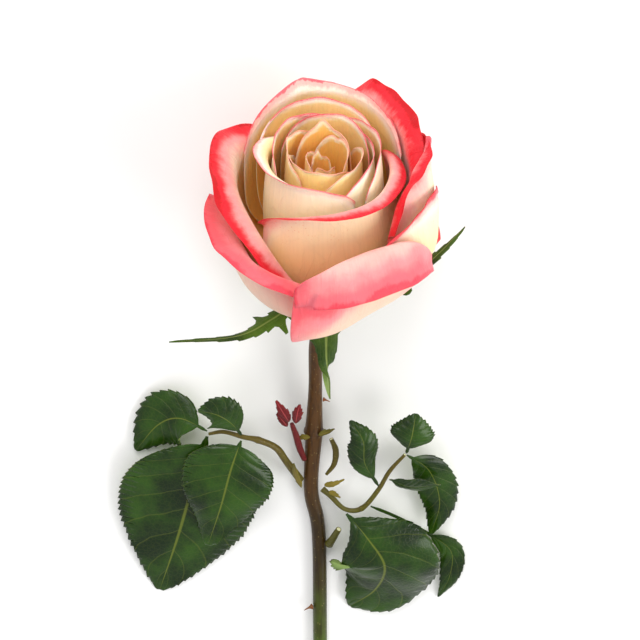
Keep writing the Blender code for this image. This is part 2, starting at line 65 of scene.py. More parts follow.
# Bloom
HEAD_PLACE = Vector((0.0, 5.5, 28.5)) * MM
HEAD_PITCH = 20.0
BLOOM_HEART = Vector((0.0, 0.0, 26.0 * MM))
RAY_REACH = 0.2
PETAL_COLUMNS = 8
CORE_ROWS = 5
CURL_ROWS = 3
FINE_COLUMNS = 3
FINE_ROWS = 4
CLAW_RADIUS = (2.4 * MM, 8.6 * MM)
CLAW_HEIGHT = (6.5 * MM, 1.0 * MM)
CLAW_HALF_WIDTH = 3.0 * MM
CUP_SWELL = 1.18
CUP_LEVELS = (0.07, 0.55)
OPENED_BY = 0.62
RIM_NARROWS = 0.10
CURL_SHARE = 0.12
CURL_STEPS = 8
CURL_TURNED_BY = 0.65
WIDEST_WRAP = math.radians(150.0)
ROUGH_GAP = 0.95 * MM
FINE_GAP = 0.55 * MM
SHALLOWEST = 0.45
SETTLED = 0.02 * MM
RUFFLE_REACH = 5.0 * MM
# One unit of the petal_margin UV map's first number.
MARGIN_SCALE = 30.0 * MM

# Green parts
NARROW_END = 0.05
NECK_HALF_WIDTH = 0.6 * MM
NECK_FOOT = 0.4
GROOVE_WIDTH = 0.9 * MM
SEAM = 0.01 * MM


def srgb(red: float, green: float, blue: float) -> tuple[float, float, float, float]:
    """Linear colour from everyday values.

    Args:
        red: 0 to 255.
        green: 0 to 255.
        blue: 0 to 255.

    Returns:
        Linear red, green and blue, and a full alpha.
    """
    linear = []
    for value in (red, green, blue):
        share = value / 255.0
        linear.append(share / 12.92 if share <= 0.04045 else ((share + 0.055) / 1.055) ** 2.4)
    return (*linear, 1.0)


def smoothstep(value: float) -> float:
    """Ease from 0 to 1."""
    value = min(max(value, 0.0), 1.0)
    return value * value * (3.0 - 2.0 * value)


# ---------------------------------------------------------------- finishes


class Paint:
    """Short ways to add and join the nodes of one Principled material."""

    def __init__(self, name: str) -> None:
        """Start a material with its Principled shader.

        Args:
            name: The material's name.
        """
        self.material = bpy.data.materials.new(name)
        self.material.use_nodes = True
        self.tree = self.material.node_tree
        self.shader = self.tree.nodes["Principled BSDF"]

    def node(self, kind: str, **settings: object) -> bpy.types.Node:
        """Add a node.

        Args:
            kind: The node's type.
            **settings: Its plain properties.

        Returns:
            The node.
        """
        made = self.tree.nodes.new(kind)
        for key, value in settings.items():
            setattr(made, key, value)
        return made

    def feed(self, socket: Socket, value: object) -> None:
        """Fill a socket.

        Args:
            socket: The socket to fill.
            value: Another socket to join to it, or the value to set.
        """
        if isinstance(value, Socket):
            self.tree.links.new(value, socket)
        else:
            socket.default_value = value

    def math(self, operation: str, first: object, second: object = 0.0, clamp: bool = False) -> Socket:
        """Add an operation on two numbers.

        Args:
            operation: The Math node's operation.
            first: A socket or a number.
            second: A socket or a number.
            clamp: Whether the result is kept between 0 and 1.

        Returns:
            The result's socket.
        """
        made = self.node("ShaderNodeMath", operation=operation, use_clamp=clamp)
        self.feed(made.inputs[0], first)
        self.feed(made.inputs[1], second)
        return made.outputs[0]

    def times(self, first: object, second: object) -> Socket:
        """The product of two numbers."""
        return self.math("MULTIPLY", first, second)

    def plus(self, first: object, *others: object) -> Socket:
        """The sum of two or more numbers."""
        for other in others:
            first = self.math("ADD", first, other)
        return first

    def less(self, first: object, second: object) -> Socket:
        """The first number without the second."""
        return self.math("SUBTRACT", first, second)

    def swing(self, pattern: Socket, amount: float) -> Socket:
        """A pattern of 0 to 1 as a swing of amount, half of it to each side of 0."""
        return self.times(self.less(pattern, 0.5), amount)

    def combine(self, x: object, y: object, z: object = 0.0) -> Socket:
        """Join three numbers into a vector.

        Args:
            x: A socket or a number.
            y: A socket or a number.
            z: A socket or a number.

        Returns:
            The vector's socket.
        """
        made = self.node("ShaderNodeCombineXYZ")
        for socket, value in zip(made.inputs, (x, y, z)):
            self.feed(socket, value)
        return made.outputs[0]

    def lay(self, name: str) -> tuple[Socket, Socket]:
        """Read one of the piece's own UV maps.

        Args:
            name: The map's name.

        Returns:
            Its first and second number.
        """
        source = self.node("ShaderNodeUVMap", uv_map=name)
        split = self.node("ShaderNodeSeparateXYZ")
        self.feed(split.inputs[0], source.outputs[0])
        return split.outputs[0], split.outputs[1]

    def place(self) -> Socket:
        """The point in the piece's own metres."""
        return self.node("ShaderNodeTexCoord").outputs["Object"]

    def noise(self, vector: Socket, scale: float, detail: float = 2.0, rough: float = 0.5) -> Socket:
        """Soft cloudy variation.

        Args:
            vector: Where it is read.
            scale: How fine it is.
            detail: How many finer layers it has.
            rough: How strong those layers are.

        Returns:
            The noise's factor, from 0 to 1.
        """
        made = self.node("ShaderNodeTexNoise")
        self.feed(made.inputs["Vector"], vector)
        made.inputs["Scale"].default_value = scale
        made.inputs["Detail"].default_value = detail
        made.inputs["Roughness"].default_value = rough
        return made.outputs[0]

    def cells(self, vector: Socket, scale: float, feature: str = "DISTANCE_TO_EDGE") -> Socket:
        """A net of cells, such as the smallest veins of a leaf.

        Args:
            vector: Where it is read.
            scale: How fine it is.
            feature: What the distance is measured from.

        Returns:
            The distance from the cell's edge, or from its middle for F1.
        """
        made = self.node("ShaderNodeTexVoronoi", feature=feature)
        self.feed(made.inputs["Vector"], vector)
        made.inputs["Scale"].default_value = scale
        return made.outputs["Distance"]

    def ramp(self, factor: Socket, stops: tuple) -> Socket:
        """Colours along a number.

        Args:
            factor: The number, from 0 to 1.
            stops: A (position, colour) pair for each colour.

        Returns:
            The colour's socket.
        """
        made = self.node("ShaderNodeValToRGB")
        self.feed(made.inputs[0], factor)
        band = made.color_ramp
        band.interpolation = "EASE"
        while len(band.elements) < len(stops):
            band.elements.new(1.0)
        for element, (position, colour) in zip(band.elements, stops):
            element.position = position
            element.color = colour
        return made.outputs[0]

    def step(self, value: Socket, low: float, high: float, start: float = 0.0, end: float = 1.0) -> Socket:
        """A smooth change from one number to another.

        Args:
            value: What drives it.
            low: Where it begins.
            high: Where it is complete.
            start: The result up to low.
            end: The result from high on.

        Returns:
            The result's socket.
        """
        made = self.node("ShaderNodeMapRange", interpolation_type="SMOOTHSTEP")
        for socket, number in zip(made.inputs, (value, low, high, start, end)):
            self.feed(socket, number)
        return made.outputs[0]

    def mix(self, factor: Socket, first: object, second: object) -> Socket:
        """Mix two colours.

        Args:
            factor: How much of the second shows.
            first: A socket or a colour.
            second: A socket or a colour.

        Returns:
            The mixed colour's socket.
        """
        made = self.node("ShaderNodeMix", data_type="RGBA")
        self.feed(made.inputs["Factor"], factor)
        self.feed(made.inputs[6], first)
        self.feed(made.inputs[7], second)
        return made.outputs[2]

    def shade(self, colour: Socket, amount: Socket) -> Socket:
        """Darken or lighten a colour.

        Args:
            colour: The colour.
            amount: A factor around 1.

        Returns:
            The changed colour's socket.
        """
        made = self.node("ShaderNodeHueSaturation")
        self.feed(made.inputs["Color"], colour)
        self.feed(made.inputs["Value"], amount)
        return made.outputs[0]

    def emboss(self, height: Socket, depth: float, strength: float) -> None:
        """Raise the surface's shading where a pattern is high.

        Args:
            height: The pattern.
            depth: How far it rises, in metres.
            strength: How much of that shows.
        """
        made = self.node("ShaderNodeBump")
        self.feed(made.inputs["Height"], height)
        made.inputs["Strength"].default_value = strength
        made.inputs["Distance"].default_value = depth
        self.feed(self.shader.inputs["Normal"], made.outputs[0])

    def set(self, **values: object) -> None:
        """Set the shader's own sockets, with _ for the spaces in their names."""
        for key, value in values.items():
            self.feed(self.shader.inputs[key.replace("_", " ")], value)


@dataclass(frozen=True)
class PetalFinish:
    """One face of a petal: its colours from claw to margin and how wide its blush is.

    claw, middle and face run up the petal; pink, red and edge run out to its margin, over band metres where
    the blush is full. streak is how raggedly the blush runs into the face and freckle how dark its freckles
    are. claw and middle are partly the petal's own warm base and partly a painted glow: deep orange that
    stands in for light shining through the petal where it lies in shade.
    """

    STREAKS = (60.0, 4.0)
    FIBRES = (70.0, 4.0)
    BRANCHES = (15.0, 7.0)
    CLOUD_SCALE = 110.0
    DRIFT_SCALE = 38.0
    GRAIN_SCALE = 2600.0
    EDGE_LINE = 0.5 * MM
    RELIEF = 0.3 * MM
    FRECKLE_SCALE = 900.0
    FRECKLE_TONE = srgb(232, 150, 80)
    GLOW = (1.0, 0.5, 0.35)

    name: str
    claw: tuple
    middle: tuple
    face: tuple
    pink: tuple
    red: tuple
    edge: tuple
    band: float
    streak: float
    freckle: float = 0.0

    def blush(self, paint: Paint, clouds: Socket) -> Socket:
        """The blush that runs in from the margin, over the colours up the petal.

        Args:
            paint: The finish's paint.
            clouds: Its cloudy pattern.

        Returns:
            The petal's colour.
        """
        around, along = paint.lay("petal_lay")
        margin, strength = paint.lay("petal_margin")
        across, up = self.STREAKS
        fan = paint.combine(paint.times(around, across), paint.times(along, up), strength)
        streaks = paint.noise(fan, 1.0, 6.0, 0.65)
        drift = paint.noise(paint.place(), self.DRIFT_SCALE, 2.0)
        depth = paint.math("DIVIDE", margin, paint.times(strength, self.band / MARGIN_SCALE))
        ragged = paint.plus(paint.swing(streaks, self.streak), paint.swing(clouds, 0.9))
        depth = paint.plus(depth, paint.plus(ragged, paint.swing(drift, 1.1)))
        rim = paint.ramp(
            paint.math("MULTIPLY", depth, 0.5, clamp=True),
            ((0.0, self.edge), (0.09, self.red), (0.17, self.red), (0.46, self.pink), (1.0, self.face)),
        )
        # Up the petal: its own base colour, with claw and middle made deep orange as a painted glow of light
        # shining through the shaded cup.
        body = paint.ramp(along, ((0.0, self.claw), (0.42, self.middle), (0.78, self.face)))
        tone = paint.mix(paint.step(depth, 0.8, 2.4), rim, body)
        line = paint.step(margin, 0.0, self.EDGE_LINE / MARGIN_SCALE, 0.8, 0.0)
        return paint.mix(line, tone, self.edge)

    def lines(self, paint: Paint, pattern: tuple, third: object) -> Socket:
        """Where lines that run up the petal are read.

        Args:
            paint: The finish's paint.
            pattern: How fine they are across the petal and along it.
            third: What sets them apart besides their place.

        Returns:
            The place's socket.
        """
        around, along = paint.lay("petal_lay")
        return paint.combine(paint.times(around, pattern[0]), paint.times(along, pattern[1]), third)

    def make(self) -> bpy.types.Material:
        """Mix the finish.

        Returns:
            Its material.
        """
        paint = Paint(self.name)
        clouds = paint.noise(paint.place(), self.CLOUD_SCALE, 4.0, 0.6)
        tone = self.blush(paint, clouds)
        veins = paint.noise(self.lines(paint, self.FIBRES, 0.0), 1.0, 4.0, 0.6)
        branch = paint.step(paint.cells(self.lines(paint, self.BRANCHES, clouds), 1.0), 0.0, 0.07, 1.0, 0.0)
        tone = paint.shade(tone, paint.step(veins, 0.25, 0.75, 0.96, 1.02))
        tone = paint.shade(tone, paint.step(branch, 0.0, 1.0, 1.0, 0.985))
        tone = paint.shade(tone, paint.step(clouds, 0.2, 0.8, 0.97, 1.02))
        if self.freckle > 0.0:
            dots = paint.cells(paint.place(), self.FRECKLE_SCALE, "F1")
            dots = paint.step(dots, 0.12, 0.26, self.freckle, 0.0)
            patch = paint.step(paint.noise(paint.place(), 60.0, 1.0), 0.55, 0.72)
            tone = paint.mix(paint.times(dots, patch), tone, self.FRECKLE_TONE)
        paint.set(
            Base_Color=tone,
            Roughness=0.52,
            Specular_IOR_Level=0.25,
            Sheen_Weight=0.08,
            Sheen_Roughness=0.45,
            Subsurface_Weight=0.35,
            Subsurface_Scale=1.2 * MM,
            Subsurface_Radius=self.GLOW,
        )
        grain = paint.noise(paint.place(), self.GRAIN_SCALE, 2.0)
        paint.emboss(paint.plus(veins, paint.times(branch, 0.4), paint.times(grain, 0.25)), self.RELIEF, 0.5)
        return paint.material


class PetalRing(Enum):
    """The three rings of petals, by the record's material slot."""

    HEART = "petal_heart"
    CUP = "petal_cup"
    OUTER = "petal_outer"


class PetalTone(Enum):
    """The ways a petal is coloured."""

    GLOWING = "glowing"
    CREAMY = "creamy"
    RIMMED = "rimmed"
    ROSY = "rosy"


PETAL_FINISHES = {
    # The heart's colours are lightened and made more orange to stand in for light glowing through its petals:
    # partly their own orange, partly a painted glow.
    PetalTone.GLOWING: (
        PetalFinish(
            "heart_back", srgb(255, 156, 44), srgb(255, 198, 106), srgb(255, 230, 176), srgb(255, 234, 210),
            srgb(250, 200, 176), srgb(244, 168, 146), 2.0 * MM, 0.7,
        ),
        PetalFinish(
            "heart_face", srgb(255, 132, 10), srgb(255, 168, 58), srgb(255, 212, 130), srgb(255, 232, 200),
            srgb(250, 200, 174), srgb(244, 166, 140), 1.8 * MM, 0.7,
        ),
    ),
    PetalTone.CREAMY: (
        PetalFinish(
            "cup_back", srgb(255, 192, 96), srgb(255, 228, 172), srgb(255, 244, 224), srgb(255, 232, 222),
            srgb(249, 180, 174), srgb(232, 98, 110), 2.4 * MM, 0.8,
        ),
        PetalFinish(
            "cup_face", srgb(255, 152, 40), srgb(255, 194, 98), srgb(255, 230, 178), srgb(255, 232, 216),
            srgb(249, 184, 176), srgb(236, 106, 116), 2.4 * MM, 0.8,
        ),
    ),
    PetalTone.RIMMED: (
        PetalFinish(
            "outer_back", srgb(240, 222, 140), srgb(255, 212, 150), srgb(255, 240, 218), srgb(250, 184, 176),
            srgb(232, 70, 82), srgb(206, 22, 40), 6.0 * MM, 0.4, 0.5,
        ),
        PetalFinish(
            "outer_face", srgb(255, 166, 62), srgb(255, 204, 132), srgb(252, 222, 198), srgb(245, 156, 154),
            srgb(226, 28, 44), srgb(190, 6, 20), 7.5 * MM, 0.4,
        ),
    ),
    PetalTone.ROSY: (
        PetalFinish(
            "rosy_back", srgb(240, 222, 160), srgb(250, 196, 172), srgb(246, 164, 158), srgb(240, 132, 136),
            srgb(230, 88, 98), srgb(216, 56, 72), 8.0 * MM, 0.2,
        ),
        PetalFinish(
            "rosy_face", srgb(254, 196, 120), srgb(252, 208, 180), srgb(248, 180, 170), srgb(240, 134, 136),
            srgb(234, 100, 110), srgb(222, 66, 82), 10.0 * MM, 0.2,
        ),
    ),
}


@dataclass(frozen=True)
class LeafFinish:
    """The upper or lower skin of a leaf, with its midrib, side veins and the net between them.

    side_veins is how many veins leave the midrib on each side and slant how far they lean to the tip.
    """

    PATCH_SCALE = 70.0
    WANDER_SCALE = 160.0
    NET_SCALE = 620.0
    PORE_SCALE = 1800.0
    WORN_MARGIN = srgb(120, 110, 60)

    name: str
    dark: tuple
    light: tuple
    rib: tuple
    side_veins: float
    slant: float
    roughness: float
    coat: float
    relief: float
    rib_width: float = 0.022

    def make(self) -> bpy.types.Material:
        """Mix the finish.

        Returns:
            Its material.
        """
        paint = Paint(self.name)
        across, along = paint.lay("blade_lay")
        side = paint.math("ABSOLUTE", paint.less(paint.times(across, 2.0), 1.0))
        patches = paint.noise(paint.place(), self.PATCH_SCALE, 4.0)
        phase = paint.less(paint.times(along, self.side_veins), paint.times(side, self.slant))
        wander = paint.swing(paint.noise(paint.place(), self.WANDER_SCALE, 1.0), 0.16)
        turn = paint.math("FRACT", paint.plus(phase, wander))
        side_vein = paint.step(paint.math("ABSOLUTE", paint.less(turn, 0.5)), 0.455, 0.5)
        midrib = paint.step(side, self.rib_width * 0.4, self.rib_width * 1.5, 1.0, 0.0)
        net = paint.step(paint.cells(paint.place(), self.NET_SCALE), 0.0, 0.12, 1.0, 0.0)
        tone = paint.mix(paint.step(patches, 0.3, 0.72), self.dark, self.light)
        for lines, share in ((net, 0.06), (side_vein, 0.24), (midrib, 0.7)):
            tone = paint.mix(paint.times(lines, share), tone, self.rib)
        worn = paint.step(paint.plus(side, paint.times(patches, 0.06)), 1.01, 1.05, 0.0, 0.4)
        tone = paint.mix(worn, tone, self.WORN_MARGIN)
        gloss = paint.step(patches, 0.25, 0.8, self.roughness - 0.05, self.roughness + 0.10)
        paint.set(
            Base_Color=tone,
            Roughness=gloss,
            Specular_IOR_Level=0.2,
            Coat_Weight=self.coat,
            Coat_Roughness=0.18,
        )
        pores = paint.noise(paint.place(), self.PORE_SCALE, 2.0)
        raised = paint.plus(paint.times(net, -0.5), paint.times(pores, 0.25))
        paint.emboss(paint.less(raised, paint.plus(side_vein, midrib)), self.relief, 0.7)
        return paint.material


@dataclass(frozen=True)
class BarkFinish:
    """Skin of a stalk: its colours from the foot up to the tip, with darker streaks in its shadow colour,
    partly the bark's own streaks and partly painted shade, and pale pores.
    """

    STREAKS = (16.0, 26.0)
    BLOTCH_SCALE = 120.0
    PORE_SCALE = 700.0
    PORE_TONE = srgb(150, 130, 80)
    FOOT_AT = -0.147
    TIP_AT = 0.05
    RELIEF = 0.25 * MM

    name: str
    tip: tuple
    middle: tuple
    foot: tuple
    shadow: tuple
    roughness: float = 0.42

    def make(self) -> bpy.types.Material:
        """Mix the finish.

        Returns:
            Its material.
        """
        paint = Paint(self.name)
        point = paint.place()
        split = paint.node("ShaderNodeSeparateXYZ")
        paint.feed(split.inputs[0], point)
        around, along = paint.lay("tube_lay")
        fibres = paint.combine(paint.times(around, self.STREAKS[0]), paint.times(along, self.STREAKS[1]))
        streaks = paint.noise(fibres, 1.0, 4.0, 0.6)
        blotches = paint.noise(point, self.BLOTCH_SCALE, 3.0)
        height = paint.step(split.outputs[1], self.FOOT_AT, self.TIP_AT)
        height = paint.plus(height, paint.swing(blotches, 0.35))
        tone = paint.ramp(height, ((0.05, self.foot), (0.5, self.middle), (0.9, self.tip)))
        # Dark streaks in the shadow colour: partly the bark's own streaks, partly painted shade that darkens
        # the stalk.
        tone = paint.mix(paint.step(streaks, 0.42, 0.75, 0.0, 0.65), tone, self.shadow)
        pores = paint.step(paint.cells(point, self.PORE_SCALE, "F1"), 0.05, 0.22, 0.55, 0.0)
        tone = paint.mix(pores, tone, self.PORE_TONE)
        paint.set(
            Base_Color=tone,
            Roughness=self.roughness,
            Specular_IOR_Level=0.25,
            Coat_Weight=0.06,
            Coat_Roughness=0.3,
        )
        paint.emboss(paint.plus(streaks, paint.times(pores, 0.6)), self.RELIEF, 0.5)
        return paint.material


@dataclass(frozen=True)
class PithFinish:
    """Pale grained face of the cut stem."""

    GRAIN_SCALE = 2400.0

    name: str
    wood: tuple
    heart: tuple

    def make(self) -> bpy.types.Material:
        """Mix the finish.

        Returns:
            Its material.
        """
        paint = Paint(self.name)
        grain = paint.noise(paint.place(), self.GRAIN_SCALE, 3.0)
        tone = paint.mix(grain, self.wood, self.heart)
        paint.set(Base_Color=tone, Roughness=0.6, Subsurface_Weight=0.1, Subsurface_Scale=1.0 * MM)
        paint.emboss(grain, 0.2 * MM, 0.5)
        return paint.material


@dataclass(frozen=True)
class TableFinish:
    """Matt white table with the faintest mottling."""

    name: str = "table_white"

    def make(self) -> bpy.types.Material:
        """Mix the finish.

        Returns:
            Its material.
        """
        paint = Paint(self.name)
        mottle = paint.noise(paint.place(), 9.0, 4.0)
        tone = paint.mix(mottle, srgb(243, 243, 243), srgb(247, 247, 247))
        paint.set(Base_Color=tone, Roughness=0.75, Specular_IOR_Level=0.2)
        return paint.material


LEAF_TOP = LeafFinish(
    "leaf_top", srgb(8, 32, 0), srgb(40, 74, 6), srgb(104, 114, 36), 8.0, 1.5, 0.32, 0.22, 0.09 * MM
)
LEAF_UNDER = LeafFinish(
    "leaf_under", srgb(92, 120, 60), srgb(134, 158, 90), srgb(164, 178, 110), 8.0, 1.5, 0.62, 0.0, -0.2 * MM
)
SEPAL_TOP = LeafFinish(
    "sepal_top", srgb(34, 60, 8), srgb(80, 112, 30), srgb(140, 156, 80), 3.0, 3.0, 0.5, 0.05, 0.12 * MM, 0.10
)
SEPAL_UNDER = LeafFinish(
    "sepal_under_skin", srgb(104, 134, 56), srgb(164, 188, 112), srgb(190, 204, 140), 3.0, 3.0, 0.55, 0.05,
    0.12 * MM, 0.10,
)
YOUNG_TOP = LeafFinish(
    "young_leaf", srgb(72, 4, 8), srgb(132, 18, 24), srgb(190, 74, 74), 4.0, 2.0, 0.34, 0.25, 0.12 * MM, 0.08
)
BRACT_TOP = LeafFinish(
    "bract_skin", srgb(78, 78, 20), srgb(126, 112, 40), srgb(144, 118, 52), 3.0, 2.5, 0.5, 0.05,
    0.12 * MM, 0.10,
)
STEM_BARK = BarkFinish(
    "stem_bark", srgb(80, 50, 14), srgb(50, 36, 6), srgb(72, 96, 22), srgb(24, 10, 2)
)
STALK_BARK = BarkFinish(
    "stalk_bark", srgb(90, 78, 22), srgb(84, 84, 24), srgb(78, 84, 24), srgb(50, 24, 10)
)
YOUNG_BARK = BarkFinish(
    "young_bark", srgb(98, 8, 12), srgb(92, 10, 12), srgb(80, 18, 12), srgb(50, 4, 8), 0.34
)
PRICKLE_SKIN = BarkFinish(
    "prickle_skin", srgb(136, 78, 40), srgb(124, 70, 36), srgb(112, 78, 38), srgb(80, 26, 14)
)
CUT_PITH = PithFinish("cut_pith", srgb(196, 200, 140), srgb(226, 226, 190))


class FinishShelf:
    """Mixes each finish once and hands it out after that."""

    def __init__(self) -> None:
        """Start empty."""
        self.mixed: dict[str, bpy.types.Material] = {}

    def take(self, finish: object) -> bpy.types.Material:
        """The material of a finish."""
        if finish.name not in self.mixed:
            self.mixed[finish.name] = finish.make()
        return self.mixed[finish.name]


SHELF = FinishShelf()


# ---------------------------------------------------------------- making and filing pieces


def frame_shift() -> Vector:
    """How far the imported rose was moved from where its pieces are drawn, read off the hip's box.

    Returns:
        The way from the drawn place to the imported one.
    """
    tilt = Matrix.Rotation(math.radians(HEAD_PITCH - 90.0), 3, "X")
    low = Vector((1.0, 1.0, 1.0))
    for radius, height in HIP_PROFILE:
        for turn in range(12):
            angle = math.radians(30.0 * turn)
            spot = Vector((radius * math.cos(angle), radius * math.sin(angle), height)) * MM
            low = Vector(map(min, low, tilt @ spot + HEAD_PLACE))
    return Vector(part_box("hip")[0]) - low


def head_matrix(shift: Vector) -> Matrix:
    """From the upright bloom to where it lies."""
    return Matrix.Translation(HEAD_PLACE + shift) @ Matrix.Rotation(math.radians(HEAD_PITCH - 90.0), 4, "X")


def sheet(columns: int, rows: int, place: Callable[[int, int], Vector]) -> bmesh.types.BMesh:
    """A grid of faces put in place corner by corner.

    Args:
        columns: Faces across.
        rows: Faces up.
        place: Where the corner at a column and a row goes.

    Returns:
        The mesh, with each corner's number kept in its spot layer.
    """
    bm = bmesh.new()
    bmesh.ops.create_grid(bm, x_segments=columns, y_segments=rows, size=0.5)
    spots = bm.verts.layers.int.new("spot")
    for vert in bm.verts:
        column = round((vert.co.x + 0.5) * columns)
        row = round((vert.co.y + 0.5) * rows)
        vert[spots] = row * (columns + 1) + column
        vert.co = place(column, row)
    return bm


def map_sheet(bm: bmesh.types.BMesh, name: str, values: Callable[[int], tuple[float, float]]) -> None:
    """Write a UV map onto a sheet.

    Args:
        bm: The sheet.
        name: The map's name.
        values: The map's two numbers for a corner's number in the grid.
    """
    spots = bm.verts.layers.int["spot"]
    layer = bm.loops.layers.uv.new(name)
    for face in bm.faces:
        for loop in face.loops:
            loop[layer].uv = values(loop.vert[spots])


def finish_piece(
    node: str,
    bm: bmesh.types.BMesh,
    slot: str,
    finishes: tuple,
    place: Matrix,
    thickness: float = 0.0,
    smooth: int = 0,
) -> None:
    """Turn a bmesh into a dressed piece that stands for a CAD node.

    Args:
        node: The CAD node it replaces.
        bm: Its mesh, which is used up.
        slot: The record's material slot.
        finishes: The finish of the faces, then that of the skin behind them.
        place: From the mesh's own space to the frame's.
        thickness: Thickness grown evenly to both sides, in metres, or 0 for a closed mesh.
        smooth: Levels of subdivision.
    """
    bm.transform(place)
    mesh = bpy.data.meshes.new(f"fine_{node}")
    bm.to_mesh(mesh)
    bm.free()
    mesh.shade_smooth()
    for finish in finishes:
        mesh.materials.append(SHELF.take(finish))
    piece = bpy.data.objects.new(f"fine_{node}", mesh)
    bpy.context.scene.collection.objects.link(piece)
    if thickness > 0.0:
        wall = piece.modifiers.new("wall", "SOLIDIFY")
        wall.thickness = thickness
        wall.offset = 0.0
        wall.material_offset = len(finishes) - 1
    if smooth > 0:
        soften = piece.modifiers.new("soften", "SUBSURF")
        soften.levels = smooth
        soften.render_levels = smooth
    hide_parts(node)
    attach(piece, "root")
    LOG.info("%s stands for %s in slot %s", piece.name, node, slot)


# ---------------------------------------------------------------- petals


@dataclass(frozen=True)
class Petal:
    """One petal. Lengths are in bloom units and angles in degrees; pairs and triples run left to right.

    azimuth and half_width place it round the bloom, belly is how far its cup swells, rim_radius and
    rim_height are where its rim starts to curl, curl_length and curl are how much of it turns out, and
    droop is how much shorter its sides are than its middle.
    """

    azimuth: float
    half_width: float
    belly: float
    rim_radius: float
    rim_height: float
    curl_length: float
    curl: tuple
    droop: tuple


@dataclass(frozen=True)
class PetalLook:
    """What sets one petal apart: its blush, how much its margin ruffles, its outline and its colours.

    blush makes its band wider above 1 and narrower below; ruffle is in metres; tip is how far a point
    stands out as a share of the petal's length, at tip_at from -1 (left) to 1 (right); notch is how
    unevenly the rest of the rim runs, as such a share too; tone is its pair of finishes.
    """

    blush: float
    ruffle: float
    tip: float = 0.0
    tip_at: float = 0.0
    notch: float = 0.006
    tone: PetalTone = PetalTone.RIMMED


HEART_PETALS = (
    Petal(200, 7, 4.0, 3.5, 61, 1.5, (10, 10, 10), (0.06, 0.06)),
    Petal(20, 9, 5.5, 4.5, 60, 1.5, (10, 25, 10), (0.06, 0.06)),
    Petal(265, 10, 7.0, 6.0, 63, 1.5, (10, 20, 10), (0.06, 0.06)),
    Petal(120, 14, 8.5, 9.5, 66, 1.5, (10, 20, 20), (0.06, 0.04)),
    Petal(170, 16, 10.0, 10.5, 69, 1.5, (10, 0, 10), (0.08, 0.08)),
    Petal(-25, 24, 11.5, 12.0, 65, 2.0, (20, 30, 10), (0.05, 0.05)),
    Petal(250, 20, 13.0, 13.2, 67, 2.0, (10, 20, 10), (0.05, 0.05)),
    Petal(65, 20, 14.0, 15.0, 65, 2.0, (10, 25, 10), (0.05, 0.05)),
)

CUP_PETALS = (
    Petal(160, 26, 16.4, 17.2, 69, 2.0, (10, 10, 10), (0.05, 0.05)),
    Petal(225, 24, 18.0, 18.0, 69, 2.0, (20, 25, 10), (0.05, 0.05)),
    Petal(85, 26, 18.5, 19.5, 65, 2.0, (10, 15, 10), (0.05, 0.05)),
    Petal(-58, 36, 20.5, 20.5, 62, 9.0, (130, 60, 25), (0.05, 0.03)),
    Petal(112, 28, 21.5, 22.0, 66, 3.0, (10, 15, 5), (0.05, 0.05)),
    Petal(184, 27, 23.0, 25.4, 68, 3.0, (15, 15, 15), (0.06, 0.06)),
)

OUTER_PETALS = (
    Petal(34, 43, 27.0, 26.0, 56, 10.0, (60, 100, 150), (0.10, -0.04)),
    Petal(178, 40, 28.0, 30.5, 69, 5.0, (15, 40, 30), (0.10, 0.10)),
    Petal(-174, 23, 30.0, 33.5, 69, 4.0, (15, 25, 25), (0.15, 0.12)),
    Petal(132, 29, 29.0, 32.5, 61, 13.0, (65, 65, 75), (0.10, 0.14)),
    Petal(-86, 43, 30.0, 32.0, 47, 20.0, (55, 70, 78), (0.20, 0.36)),
    Petal(86, 22, 30.0, 30.5, 54, 12.0, (65, 65, 60), (0.12, 0.12)),
    Petal(60, 24, 28.0, 28.5, 39, 8.0, (70, 45, 30), (0.12, 0.12)),
    Petal(-48, 33, 31.0, 33.5, 34, 23.0, (56, 85, 100), (0.07, 0.16)),
    Petal(27, 21, 27.0, 29.0, 37, 29.0, (146, 146, 146), (0.0, 0.16)),
    Petal(150, 24, 31.5, 33.0, 34, 6.0, (30, 35, 30), (0.15, 0.15)),
    Petal(-150, 23, 30.0, 32.0, 34, 6.0, (30, 35, 30), (0.15, 0.15)),
    Petal(128, 20, 30.0, 31.0, 26, 5.0, (30, 35, 30), (0.15, 0.15)),
)

PETALS = HEART_PETALS + CUP_PETALS + OUTER_PETALS

RING_LOOKS = {
    PetalRing.HEART: PetalLook(0.55, 0.24 * MM, 0.02, 0.1, 0.014, PetalTone.GLOWING),
    PetalRing.CUP: PetalLook(0.60, 0.30 * MM, 0.01, 0.0, 0.007, PetalTone.CREAMY),
    PetalRing.OUTER: PetalLook(0.85, 0.7 * MM, 0.012, 0.0, 0.008),
}

